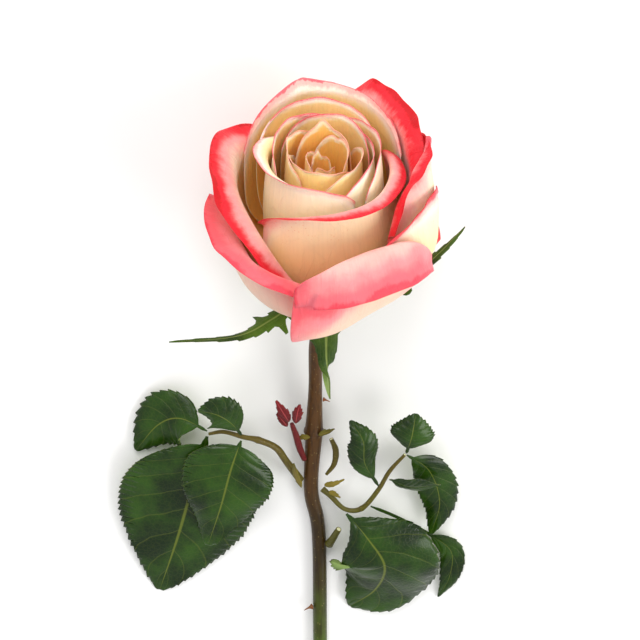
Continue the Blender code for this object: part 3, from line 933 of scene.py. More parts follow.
PETAL_LOOKS = {
    1: PetalLook(0.4, 0.5 * MM, 0.03, 0.0, 0.03, PetalTone.GLOWING),
    2: PetalLook(0.5, 0.4 * MM, 0.03, -0.2, 0.03, PetalTone.GLOWING),
    3: PetalLook(0.5, 0.35 * MM, 0.03, 0.3, 0.02, PetalTone.GLOWING),
    5: PetalLook(0.7, 0.25 * MM, 0.05, 0.1, 0.012, PetalTone.GLOWING),
    12: PetalLook(0.9, 0.35 * MM, 0.01, -0.8, 0.006, PetalTone.CREAMY),
    15: PetalLook(0.70, 0.45 * MM, 0.0, 0.0, 0.006),
    16: PetalLook(1.50, 0.6 * MM, 0.04, 0.25, 0.006, PetalTone.CREAMY),
    17: PetalLook(1.80, 0.6 * MM, 0.03, 0.2, 0.006, PetalTone.CREAMY),
    18: PetalLook(1.40, 1.5 * MM, 0.05, 0.5, 0.026),
    19: PetalLook(1.00, 1.4 * MM, 0.02, -0.3, 0.020),
    20: PetalLook(1.20, 1.3 * MM, 0.04, 0.0, 0.020),
    21: PetalLook(0.60, 0.7 * MM, 0.01, 0.3, 0.010),
    22: PetalLook(1.00, 1.1 * MM, 0.04, 0.1, 0.006, PetalTone.ROSY),
    23: PetalLook(0.90, 0.7 * MM, 0.02, -0.1, 0.010, PetalTone.ROSY),
    24: PetalLook(0.6, 0.6 * MM, 0.01, 0.0, 0.008, PetalTone.ROSY),
    25: PetalLook(0.6, 0.6 * MM, 0.01, 0.0, 0.008, PetalTone.ROSY),
    26: PetalLook(0.6, 0.6 * MM, 0.01, 0.0, 0.008, PetalTone.ROSY),
}


@dataclass
class Petals:
    """The whole bloom, petal over petal.

    place is where it lies. Of each pair of rounds, the first is for the rough pass and the second for the
    fine one. The waves of a margin are given by how many run across it.
    """

    place: Matrix
    thickness: float = 0.26 * MM
    columns: int = PETAL_COLUMNS * FINE_COLUMNS
    core_rows: int = CORE_ROWS * FINE_ROWS
    curl_rows: int = CURL_ROWS * FINE_ROWS
    smoothing_rounds: tuple = (5, 9)
    settling_rounds: tuple = (12, 8)
    margin_waves: tuple = (2.3, 4.1, 7.3, 11.7)
    tip_width: float = 0.16
    shortest_curl: float = 0.4 * MM
    side_fade: float = 16.0 * MM

    def ring(self, index: int) -> PetalRing:
        """Which ring a petal belongs to.

        Args:
            index: The petal's place among PETALS.

        Returns:
            Its ring.
        """
        if index < len(HEART_PETALS):
            return PetalRing.HEART
        return PetalRing.CUP if index < len(HEART_PETALS) + len(CUP_PETALS) else PetalRing.OUTER

    def look(self, index: int) -> PetalLook:
        """How a petal looks."""
        return PETAL_LOOKS.get(index + 1, RING_LOOKS[self.ring(index)])

    @staticmethod
    def across(values: tuple, u: float) -> float:
        """Read a triple somewhere across a petal.

        Args:
            values: Its left, middle and right number.
            u: Where across, from -1 to 1.

        Returns:
            The number there.
        """
        left, middle, right = values
        side = left if u < 0.0 else right
        return middle + (side - middle) * smoothstep(abs(u))

    @staticmethod
    def cup_profile(petal: Petal, claw: tuple, t: float) -> tuple[float, float, float]:
        """Follow a petal's middle line.

        Args:
            petal: The petal.
            claw: Radius and height of its claw.
            t: How far up, from the claw at 0 to the rim at 1.

        Returns:
            Radius, height and lean there.
        """
        swell = petal.belly * CUP_SWELL * BLOOM_UNIT
        rim_height = petal.rim_height * BLOOM_UNIT
        low, middle = (level * rim_height for level in CUP_LEVELS)
        radii = (claw[0], swell, swell, petal.rim_radius * BLOOM_UNIT)
        heights = (claw[1], claw[1] + low, middle, rim_height)
        weights = ((1 - t) ** 3, 3 * t * (1 - t) ** 2, 3 * t * t * (1 - t), t ** 3)
        slopes = ((1 - t) ** 2, 2 * t * (1 - t), t * t)
        radius = sum(w * r for w, r in zip(weights, radii))
        height = sum(w * h for w, h in zip(weights, heights))
        run = sum(s * (radii[i + 1] - radii[i]) for i, s in enumerate(slopes))
        rise = sum(s * (heights[i + 1] - heights[i]) for i, s in enumerate(slopes))
        return radius, height, math.atan2(run, rise)

    def outline(self, look: PetalLook, u: float, seed: int) -> float:
        """How much a petal's length departs from that of a plain round rim.

        Args:
            look: The petal's look.
            u: Where across it, from -1 to 1.
            seed: Sets its unevenness apart from other petals'.

        Returns:
            The difference as a share of its length.
        """
        wander = sum(math.sin(k * u * 3.1 + seed * 1.7 * k) / k for k in (2, 3, 5, 8))
        point = look.tip * math.exp(-((u - look.tip_at) / self.tip_width) ** 2)
        return point + look.notch * wander

    def column(self, petal: Petal, claw: tuple, u: float, rows: tuple, extra: float) -> list:
        """Radii, heights and height fractions of the petal along one line from claw to rim.

        Args:
            petal: The petal.
            claw: Radius and height of its claw.
            u: Where across it, from -1 to 1.
            rows: How many rows its cup and its curl have.
            extra: How much longer the line is than the plain petal's, as a share of its length.

        Returns:
            One (radius, height, fraction) for each row.
        """
        core_rows, curl_rows = rows
        droop = petal.droop[0] if u < 0.0 else petal.droop[1]
        edge_t = 1.0 - droop * abs(u) ** 2.5 - 0.07 * (1.0 - math.sqrt(max(0.0, 1.0 - u ** 4)))
        line = []
        for row in range(core_rows + 1):
            t = edge_t * row / core_rows
            radius, height, lean = self.cup_profile(petal, claw, t)
            line.append((radius, height, t))
        length = petal.curl_length * BLOOM_UNIT * (1.0 - 0.45 * abs(u) ** 3)
        length = max(length + extra * petal.rim_height * BLOOM_UNIT, self.shortest_curl)
        turn = math.radians(self.across(petal.curl, u))
        steps = curl_rows * CURL_STEPS
        step = length / steps
        for row in range(curl_rows):
            for part in range(CURL_STEPS):
                done = (row * CURL_STEPS + part + 0.5) / steps
                angle = lean + turn * smoothstep(done / CURL_TURNED_BY)
                radius += step * math.sin(angle)
                height += step * math.cos(angle)
            line.append((radius, height, edge_t + CURL_SHARE * (row + 1) / curl_rows))
        return line

    def points(self, index: int, claw: tuple, columns: int, rows: tuple, plain: bool) -> np.ndarray:
        """Positions of a petal's middle surface in the upright bloom.

        Args:
            index: The petal's place among PETALS.
            claw: Radius and height of its claw.
            columns: How many columns of faces it has.
            rows: How many rows its cup and its curl have.
            plain: Whether its rim is plain and round.

        Returns:
            The positions, as rows by columns by 3.
        """
        petal = PETALS[index]
        points = np.zeros((rows[0] + rows[1] + 1, columns + 1, 3))
        for column in range(columns + 1):
            u = 2.0 * column / columns - 1.0
            extra = 0.0 if plain else self.outline(self.look(index), u, index)
            for row, (radius, height, t) in enumerate(self.column(petal, claw, u, rows, extra)):
                core_radius = self.cup_profile(petal, claw, min(t, 1.0))[0]
                opened = smoothstep(t / OPENED_BY) ** 0.8
                half = CLAW_HALF_WIDTH + (petal.half_width * BLOOM_UNIT - CLAW_HALF_WIDTH) * opened
                half *= 1.0 - RIM_NARROWS * smoothstep((t - 0.75) / 0.37)
                angle = math.radians(petal.azimuth) + min(half / core_radius, WIDEST_WRAP) * u
                points[row, column] = (radius * math.sin(angle), -radius * math.cos(angle), height)
        return points

    @staticmethod
    def neighbour_mean(field: np.ndarray) -> np.ndarray:
        """Average each value of a grid with its eight neighbours.

        Args:
            field: The values, by row and column.

        Returns:
            The averages, by row and column.
        """
        padded = np.pad(field, 1, mode="edge")
        rows, columns = field.shape
        total = np.zeros_like(field)
        for down in range(3):
            for right in range(3):
                total += padded[down:down + rows, right:right + columns]
        return total / 9.0

    @staticmethod
    def grid_faces(rows: int, columns: int) -> list:
        """The squares of a grid of points.

        Args:
            rows: How many rows of squares it has.
            columns: How many columns of squares.

        Returns:
            Four point numbers for each square.
        """
        wide = columns + 1
        return [
            (r * wide + c, r * wide + c + 1, (r + 1) * wide + c + 1, (r + 1) * wide + c)
            for r in range(rows)
            for c in range(columns)
        ]

    @staticmethod
    def halved(points: np.ndarray) -> np.ndarray:
        """Add the middles of a grid's edges and squares.

        Args:
            points: The grid's points.

        Returns:
            The finer grid's points.
        """
        rows, columns = points.shape[0], points.shape[1]
        fine = np.zeros((2 * rows - 1, 2 * columns - 1, 3))
        fine[::2, ::2] = points
        fine[1::2, ::2] = 0.5 * (points[1:] + points[:-1])
        fine[:, 1::2] = 0.5 * (fine[:, 2::2] + fine[:, :-2:2])
        return fine

    @staticmethod
    def refined(field: np.ndarray, times: int) -> np.ndarray:
        """Give a field of vectors more rows, by smooth curves through the old ones.

        Args:
            field: The vectors, by row.
            times: How many new steps each old one is cut into.

        Returns:
            The finer field.
        """
        rows = field.shape[0]
        fine = np.zeros(((rows - 1) * times + 1, *field.shape[1:]))
        for row in range(fine.shape[0]):
            index = min(row // times, rows - 2)
            local = row / times - index
            here, there = field[index], field[index + 1]
            before = field[index - 1] if index > 0 else 2.0 * here - there
            after = field[index + 2] if index + 2 < rows else 2.0 * there - here
            bend = 2.0 * before - 5.0 * here + 4.0 * there - after
            twist = 3.0 * here - before - 3.0 * there + after
            fine[row] = 0.5 * (2.0 * here + local * (there - before + local * (bend + local * twist)))
        return fine

    def settle(self, points: np.ndarray, inner: list, tree: BVHTree, gap: float, level: int) -> np.ndarray:
        """Open a petal outwards, away from the bloom's heart, until it lies over every petal inside it.

        Args:
            points: The petal's middle surface.
            inner: Places on the petals inside it.
            tree: The surfaces of the petals inside it.
            gap: How far it keeps from them, in metres.
            level: 0 for the rough pass and 1 for the fine one.

        Returns:
            The opened middle surface.
        """
        heart = np.array(BLOOM_HEART)
        shape = points.shape[:2]
        faces = self.grid_faces(shape[0] - 1, shape[1] - 1)
        for _ in range(self.settling_rounds[level]):
            need = np.zeros(shape)
            tested = self.halved(points) if level == 0 else points
            divide = 2 if level == 0 else 1
            for row, column in np.ndindex(*tested.shape[:2]):
                ray = Vector(tested[row, column]) - BLOOM_HEART
                way = ray.normalized()
                _, normal, _, travelled = tree.ray_cast(BLOOM_HEART + way * RAY_REACH, -way)
                if normal is not None:
                    lack = RAY_REACH - travelled + gap / max(abs(normal.dot(way)), SHALLOWEST) - ray.length
                    before = (row // divide, column // divide)
                    after = (-(-row // divide), -(-column // divide))
                    for corner in (before, after):
                        need[corner] = max(need[corner], lack)
            own = BVHTree.FromPolygons([Vector(p) for p in points.reshape(-1, 3)], faces)
            under = np.zeros(shape[0] * shape[1])
            for place, way, far in inner:
                _, normal, face, travelled = own.ray_cast(BLOOM_HEART, way)
                if normal is not None:
                    lack = far + gap / max(abs(normal.dot(way)), SHALLOWEST) - travelled
                    for vert in faces[face]:
                        under[vert] = max(under[vert], lack)
            need = np.maximum(need, under.reshape(shape))
            if need.max() < SETTLED:
                break
            lift = need.copy()
            for _ in range(self.smoothing_rounds[level]):
                lift = np.maximum(self.neighbour_mean(lift), need)
            rays = points - heart
            points = points + rays / np.linalg.norm(rays, axis=2)[:, :, None] * lift[:, :, None]
        return points

    @staticmethod
    def sightlines(points: np.ndarray) -> list:
        """See a petal's points from the bloom's heart.

        Args:
            points: The points.

        Returns:
            Each point with its direction and its distance.
        """
        found = []
        for point in points.reshape(-1, 3):
            ray = Vector(point) - BLOOM_HEART
            found.append((Vector(point), ray.normalized(), ray.length))
        return found

    def surfaces(self) -> list:
        """Lay every petal over those inside it, from the heart outwards.

        Returns:
            Each petal's fine middle surface.
        """
        rough_inner, rough_verts, rough_faces = [], [], []
        inner, verts, faces, made = [], [], [], []
        for index in range(len(PETALS)):
            share = index / (len(PETALS) - 1)
            claw = tuple(ends[0] + (ends[1] - ends[0]) * share for ends in (CLAW_RADIUS, CLAW_HEIGHT))
            rough = self.points(index, claw, PETAL_COLUMNS, (CORE_ROWS, CURL_ROWS), True)
            opened = rough
            if rough_faces:
                tree = BVHTree.FromPolygons(rough_verts, rough_faces)
                opened = self.settle(rough, rough_inner, tree, ROUGH_GAP, 0)
            rough_inner += self.sightlines(self.halved(opened))
            start = len(rough_verts)
            rough_verts += [Vector(p) for p in opened.reshape(-1, 3)]
            squares = self.grid_faces(CORE_ROWS + CURL_ROWS, PETAL_COLUMNS)
            rough_faces += [tuple(start + i for i in face) for face in squares]
            moved = self.refined(opened - rough, FINE_ROWS)
            moved = self.refined(moved.transpose(1, 0, 2), FINE_COLUMNS).transpose(1, 0, 2)
            fine = self.points(index, claw, self.columns, (self.core_rows, self.curl_rows), False)
            fine = self.ruffled(fine + moved, index)
            if faces:
                fine = self.settle(fine, inner, BVHTree.FromPolygons(verts, faces), FINE_GAP, 1)
            inner += self.sightlines(fine)
            start = len(verts)
            verts += [Vector(p) for p in fine.reshape(-1, 3)]
            squares = self.grid_faces(fine.shape[0] - 1, self.columns)
            faces += [tuple(start + i for i in face) for face in squares]
            made.append(fine)
        return made

    def margin(self, points: np.ndarray) -> np.ndarray:
        """How far a petal's points lie from its free margin.

        Args:
            points: The petal's middle surface.

        Returns:
            Each point's distance, in metres.
        """
        rows, columns = points.shape[:2]
        edge, fade = [], []
        for row in range(rows // 4, rows):
            for column in (0, columns - 1):
                edge.append(points[row, column])
                fade.append(self.side_fade * (1.0 - row / (rows - 1)) ** 1.5)
        for column in range(columns):
            edge.append(points[rows - 1, column])
            fade.append(0.0)
        gaps = np.linalg.norm(points[:, :, None, :] - np.array(edge)[None, None], axis=3) + np.array(fade)
        return gaps.min(axis=2)

    def ruffled(self, points: np.ndarray, index: int) -> np.ndarray:
        """Wave a petal's margin a little, more at its very edge.

        Args:
            points: The petal's middle surface.
            index: Its place among PETALS.

        Returns:
            The waved middle surface.
        """
        look = self.look(index)
        chance = np.random.default_rng(400 + index)
        rows, columns = points.shape[:2]
        down = np.gradient(points, axis=0)
        right = np.gradient(points, axis=1)
        normal = np.cross(right, down)
        normal /= np.maximum(np.linalg.norm(normal, axis=2), 1e-9)[:, :, None]
        edge = np.exp(-self.margin(points) / RUFFLE_REACH)
        u = np.linspace(-1.0, 1.0, columns)[None, :]
        v = np.linspace(0.0, 1.0, rows)[:, None]
        wave = np.zeros((rows, columns))
        for waves in self.margin_waves:
            phase, slope = chance.uniform(0.0, 2.0 * math.pi, 2)
            wave += np.sin(waves * u * 2.0 + phase + 3.0 * np.sin(slope + 2.0 * v)) / math.sqrt(waves)
        return points + normal * (wave * edge * look.ruffle)[:, :, None]

    def build(self) -> None:
        """Make every petal as its own thin piece."""
        for index, points in enumerate(self.surfaces()):
            look = self.look(index)
            ring = self.ring(index)
            rows, columns = points.shape[0] - 1, points.shape[1] - 1
            wide = columns + 1
            margin = (self.margin(points) / MARGIN_SCALE).ravel()
            bm = sheet(columns, rows, lambda c, r: Vector(points[r, c]))
            map_sheet(bm, "petal_lay", lambda spot: ((spot % wide) / columns, (spot // wide) / rows))
            map_sheet(bm, "petal_margin", lambda spot: (margin[spot], look.blush))
            name = f"petal_{index + 1:02d}"
            finish_piece(name, bm, ring.value, PETAL_FINISHES[look.tone], self.place, self.thickness, 1)


# ---------------------------------------------------------------- green parts


@dataclass(frozen=True)
class Blade:
    """A leaflet, sepal or scale along a spine of points, in millimetres.

    face is roughly where its upper side looks, arch is how far its sides bend down, in degrees, and
    peak moves its widest place: below 1 towards the base, above 1 towards the tip. neck is the share of
    the spine that is its own narrow stalk.
    """

    spine: tuple
    half_width: float
    face: tuple = (0.0, 0.0, 1.0)
    arch: float = 12.0
    peak: float = 0.85
    neck: float = 0.0


@dataclass(frozen=True)
class Stalk:
    """A round stalk through points, in millimetres, with its radius at each of them."""

    points: tuple
    radii: tuple


@dataclass(frozen=True)
class BladeLook:
    """How a blade departs from a smooth one.

    teeth and depth are its serration, depth as a share of its half width. quilt is how far the skin swells
    between side veins and warp how far its sides wave, in metres. lobes are (place along it, side, size).
    waves is how many waves run along each side and columns how many faces lie across the blade.
    """

    teeth: int
    depth: float
    quilt: float
    warp: float
    lobes: tuple = ()
    waves: float = 1.6
    columns: int = 24


STEM = Stalk(
    ((0, -8.0, 23.2), (-1.2, -18, 19.5), (-2.2, -28.5, 15.8), (-2.5, -47.5, 10.4), (-3.1, -68.6, 6.6),
     (-4.0, -92.6, 4.4), (-1.1, -112.1, 3.4), (-0.6, -159.6, 2.9), (-0.2, -215, 2.8)),
    (2.9, 2.7, 2.6, 2.6, 3.1, 2.7, 2.7, 2.6, 2.7),
)

STALKS = {
    "leaf_stalk_left": Stalk(
        ((-8.1, -87.2, 6.2), (-13.1, -77.9, 10), (-17.1, -70.4, 13), (-23.7, -66.1, 15), (-29.2, -64.3, 16),
         (-36.3, -63.0, 14.5), (-41.9, -64.6, 13)),
        (1.5, 1.4, 1.3, 1.1, 0.9, 0.8, 0.6),
    ),
    "leaf_stalk_right": Stalk(
        ((0.2, -91.0, 6.4), (3.3, -93.3, 8), (8.7, -97.5, 10.5), (15.0, -96.9, 11), (21.0, -88.4, 12.5),
         (25.3, -79.0, 15), (30.8, -71.2, 17)),
        (1.2, 1.0, 0.9, 0.9, 0.9, 0.8, 0.6),
    ),
    "broken_stalk": Stalk(((2.7, -115.3, 5.2), (4.1, -111.9, 7.2), (6.4, -106.6, 9.5)), (1.7, 1.4, 1.1)),
    "young_shoot": Stalk(
        ((-6.6, -77.0, 9.4), (-8.3, -71.1, 11.4), (-9.7, -64.5, 14), (-11.1, -58.8, 16.2)),
        (1.0, 1.3, 1.2, 0.8),
    ),
    "hooked_bract": Stalk(
        ((3.5, -68.5, 9.5), (5.2, -73.8, 8.8), (4.6, -79.7, 8.0), (1.7, -84.5, 7.2)),
        (0.8, 1.2, 1.0, 0.6),
    ),
}

LEAFLETS = {
    "leaflet_left_terminal": Blade(
        ((-42.6, -65.7, 12.9), (-47.9, -85.4, 11), (-54.4, -111.1, 7), (-62.0, -137.5, 1)),
        26.4, (0, 0, 1), 8, 0.9, 0.07,
    ),
    "leaflet_left_front": Blade(
        ((-29.9, -65.4, 17.0), (-33.8, -77.2, 18), (-37.8, -93.8, 16), (-43.0, -112.8, 11)),
        17.4, (0, 0, 1), 10, 0.75, 0.07,
    ),
    "leaflet_left_back": Blade(
        ((-42.6, -63.6, 12.5), (-52.7, -60.2, 9), (-61.1, -64.4, 6), (-69.8, -76.8, 2.5)),
        11.6, (0, 0.3, 1), 8, 0.9, 0.12,
    ),
    "leaflet_left_upper": Blade(
        ((-29.7, -63.0, 17.1), (-33.5, -56.4, 20.5), (-38.6, -52.0, 22.5), (-45.6, -51.6, 20.0)),
        8.2, (0.1, -0.2, 1), 14, 1.0, 0.12,
    ),
    "leaflet_right_terminal": Blade(
        (
            (9.2, -98.8, 11.8), (16.9, -106.0, 17.5), (23.6, -118.0, 17.5), (20.4, -132.6, 9.5),
            (10.8, -144.6, 1.5),
        ),
        21.5, (0, 0, 1), 14, 1.15, 0.07,
    ),
    "leaflet_right_inner": Blade(
        ((21.1, -85.7, 14.2), (16.0, -74.5, 18), (15.2, -64.4, 19), (10.4, -57.6, 16)),
        5.9, (0.2, 0, 1), 20, 0.9, 0.12,
    ),
    "leaflet_right_middle": Blade(
        ((25.1, -82.9, 14.5), (32.8, -85.5, 15.5), (44.4, -85.8, 13.5)), 5.3, (0, -0.8, 1), 12, 0.9, 0.08,
    ),
    "leaflet_right_upper": Blade(
        ((31.3, -70.2, 17.7), (33.2, -61.7, 21), (34.6, -53.2, 19)), 8.4, (0, 0, 1), 14, 0.9, 0.15,
    ),
    "leaflet_right_long": Blade(
        ((31.7, -71.8, 16.2), (40.3, -81.1, 11.5), (44.3, -96.2, 8), (41.2, -110.8, 6)),
        7.9, (0, 0, 1), 14, 0.9, 0.08,
    ),
    "leaflet_right_far": Blade(
        (
            (18.4, -96.6, 9.9), (30.0, -104.5, 5.6), (41.8, -112.6, 3.9), (49.2, -119.5, 3.9),
            (48.6, -131.0, 3.0), (44.5, -140.6, 1.0),
        ),
        4.9, (0, 0, 1), 10, 0.8, 0.4,
    ),
}

SCALES = {
    "shoot_leaf_1": Blade(
        ((-12.2, -57.3, 17.5), (-14.6, -52.1, 19), (-16.9, -47.9, 19)),
        2.2, (0, -0.3, 1), 10, 0.7,
    ),
    "shoot_leaf_2": Blade(
        ((-12.8, -59.6, 16.7), (-15.0, -56.3, 17), (-16.8, -54.8, 16)),
        1.6, (0, 0, 1), 10, 0.7,
    ),
    "shoot_leaf_3": Blade(
        ((-9.7, -58.0, 17.3), (-8.9, -52.6, 19), (-8.1, -49.5, 19)),
        2.0, (0, -0.3, 1), 10, 0.7,
    ),
    "bract_left": Blade(
        ((-4.5, -67.1, 10.6), (-7.2, -67.6, 10.2), (-9.9, -69.5, 8.6)),
        1.5, (0, -0.4, 1), 10, 0.7,
    ),
    "bract_right": Blade(
        ((-1.2, -66.3, 10.6), (1.7, -65.4, 10.2), (4.8, -64.6, 9.0)),
        1.5, (0, -0.4, 1), 10, 0.7,
    ),
    "stipule_left": Blade(
        ((-7.7, -89.2, 8.8), (-9.8, -82.8, 10.9), (-10.5, -76.3, 14.2)),
        1.5, (-0.6, 0, 1), 10, 0.8,
    ),
    "stipule_upper": Blade(
        ((1.0, -88.8, 8.0), (4.4, -87.3, 9.6), (8.5, -85.6, 9.2)),
        1.3, (0, 0, 1), 10, 0.6,
    ),
    "stipule_lower": Blade(
        ((2.7, -90.5, 9.8), (5.0, -91.3, 10.4), (6.9, -92.8, 10.4)),
        1.1, (0, 0, 1), 10, 0.6,
    ),
}

# Sepal spines are azimuth in degrees, radius and height in the upright bloom.
SEPALS = {
    "sepal_left": Blade(
        ((-50, 9.4, -3.4), (-53, 22, -7.0), (-56, 37, -8.5), (-65, 60, -6.5)),
        3.4, arch=14, peak=0.5,
    ),
    "sepal_front": Blade(
        ((6, 9.4, -3.4), (5, 17, -8.5), (4, 24, -18.0), (6, 28, -33.0)),
        4.6, arch=20, peak=0.6,
    ),
    "sepal_right": Blade(
        ((82, 9.4, -3.4), (94, 28, -5.5), (104, 42, 1.0), (110, 55, 8.0)),
        3.4, arch=14, peak=0.5,
    ),
    "sepal_back": Blade(
        ((154, 9.4, -3.8), (153, 15, -8.0), (151, 18.5, -16.0), (148, 19, -25.0)),
        3.6, arch=20, peak=0.6,
    ),
    "sepal_under": Blade(
        ((-140, 9.4, -3.8), (-140, 16, -8.0), (-138, 19, -16.0), (-136, 19, -25.0)),
        3.6, arch=20, peak=0.6,
    ),
}

PRICKLES = {
    "prickle_upper": ((0.6, -51.6, 10.4), (1.0, 0.0, 0.4), 2.6),
    "prickle_lower": ((-3.8, -142.8, 4.6), (-1.0, 0.0, 0.55), 3.4),
    "prickle_tail": ((2.2, -188.9, 4.2), (1.0, 0.0, 0.5), 3.6),
}

# The hip's outline, radius and height in millimetres, from the stem end up to the tip of its post.
HIP_PROFILE = (
    (0.0, -12.5), (2.6, -12.2), (3.6, -10.0), (5.6, -6.5), (6.4, -4.0),
    (6.0, -1.0), (1.5, -0.7), (1.2, 4.6), (0.0, 5.2),
)

LEAF_LOOK = BladeLook(28, 0.05, 0.35 * MM, 0.9 * MM)
SMALL_LEAF_LOOK = BladeLook(16, 0.09, 0.22 * MM, 0.6 * MM, columns=18)
SCALE_LOOK = BladeLook(4, 0.25, 0.06 * MM, 0.15 * MM, columns=10)
SEPAL_LOOK = BladeLook(5, 0.16, 0.08 * MM, 0.3 * MM, columns=16)
BLADE_LOOKS = {
    "leaflet_left_terminal": BladeLook(34, 0.042, 0.40 * MM, 1.0 * MM),
    "leaflet_left_front": BladeLook(28, 0.05, 0.38 * MM, 1.3 * MM, waves=2.2),
    "leaflet_right_terminal": BladeLook(28, 0.045, 0.40 * MM, 1.5 * MM, waves=2.6),
    "leaflet_right_far": BladeLook(20, 0.09, 0.22 * MM, 0.5 * MM, columns=18),
    "sepal_left": BladeLook(
        9,
        0.30,
        0.08 * MM,
        0.4 * MM,
        ((0.30, -1, 1.5), (0.42, 1, 1.1), (0.17, -1, 0.9), (0.2, 1, 0.8)),
        columns=20,
    ),
    "sepal_right": BladeLook(10, 0.30, 0.08 * MM, 0.4 * MM, ((0.35, 1, 0.5),), columns=16),
    "sepal_front": BladeLook(5, 0.12, 0.08 * MM, 0.4 * MM, ((0.45, 1, 0.6), (0.3, -1, 0.5)), columns=16),
}


def spline(points: list, t: float) -> Vector:
    """Follow a smooth curve through points.

    Args:
        points: The points.
        t: How far along, from 0 to 1.

    Returns:
        The place there.
    """
    place = t * (len(points) - 1)
    index = min(int(place), len(points) - 2)
    local = place - index
    middle = [points[index], points[index + 1]]
    before = points[index - 1] if index > 0 else 2.0 * middle[0] - middle[1]
    after = points[index + 2] if index + 2 < len(points) else 2.0 * middle[1] - middle[0]
    bend = 2.0 * before - 5.0 * middle[0] + 4.0 * middle[1] - after
    twist = 3.0 * middle[0] - before - 3.0 * middle[1] + after
    return 0.5 * (2.0 * middle[0] + local * (middle[1] - before + local * (bend + local * twist)))


def spine_frame(points: list, t: float, face: Vector) -> tuple[Vector, Vector, Vector, Vector]:
    """Place and axes of a blade or stalk.

    Args:
        points: Its spine.
        t: How far along, from 0 to 1.
        face: Roughly where its upper side looks.

    Returns:
        The place there, and the directions along it, sideways and outwards.
    """
    step = 0.01
    ahead = spline(points, min(t + step, 1.0))
    along = (ahead - spline(points, max(t - step, 0.0))).normalized()
    outward = (face - face.dot(along) * along).normalized()
    return spline(points, t), along, along.cross(outward), outward


def blade_half(v: float, blade: Blade) -> float:
    """Half width of a smooth blade.

    Args:
        v: How far along, from 0 to 1.
        blade: The blade.

    Returns:
        The half width there, in metres.
    """
    grown = (v - blade.neck) / (1.0 - blade.neck)
    share = NARROW_END
    if 0.0 < grown < 1.0:
        swell = math.sin(math.pi * grown ** blade.peak) ** 0.8 * (1.0 - 0.4 * grown ** 4)
        share += (1.0 - NARROW_END) * swell
    if blade.neck > 0.0 and v < 0.5:
        return max(share * blade.half_width * MM, NECK_HALF_WIDTH)
    return share * blade.half_width * MM


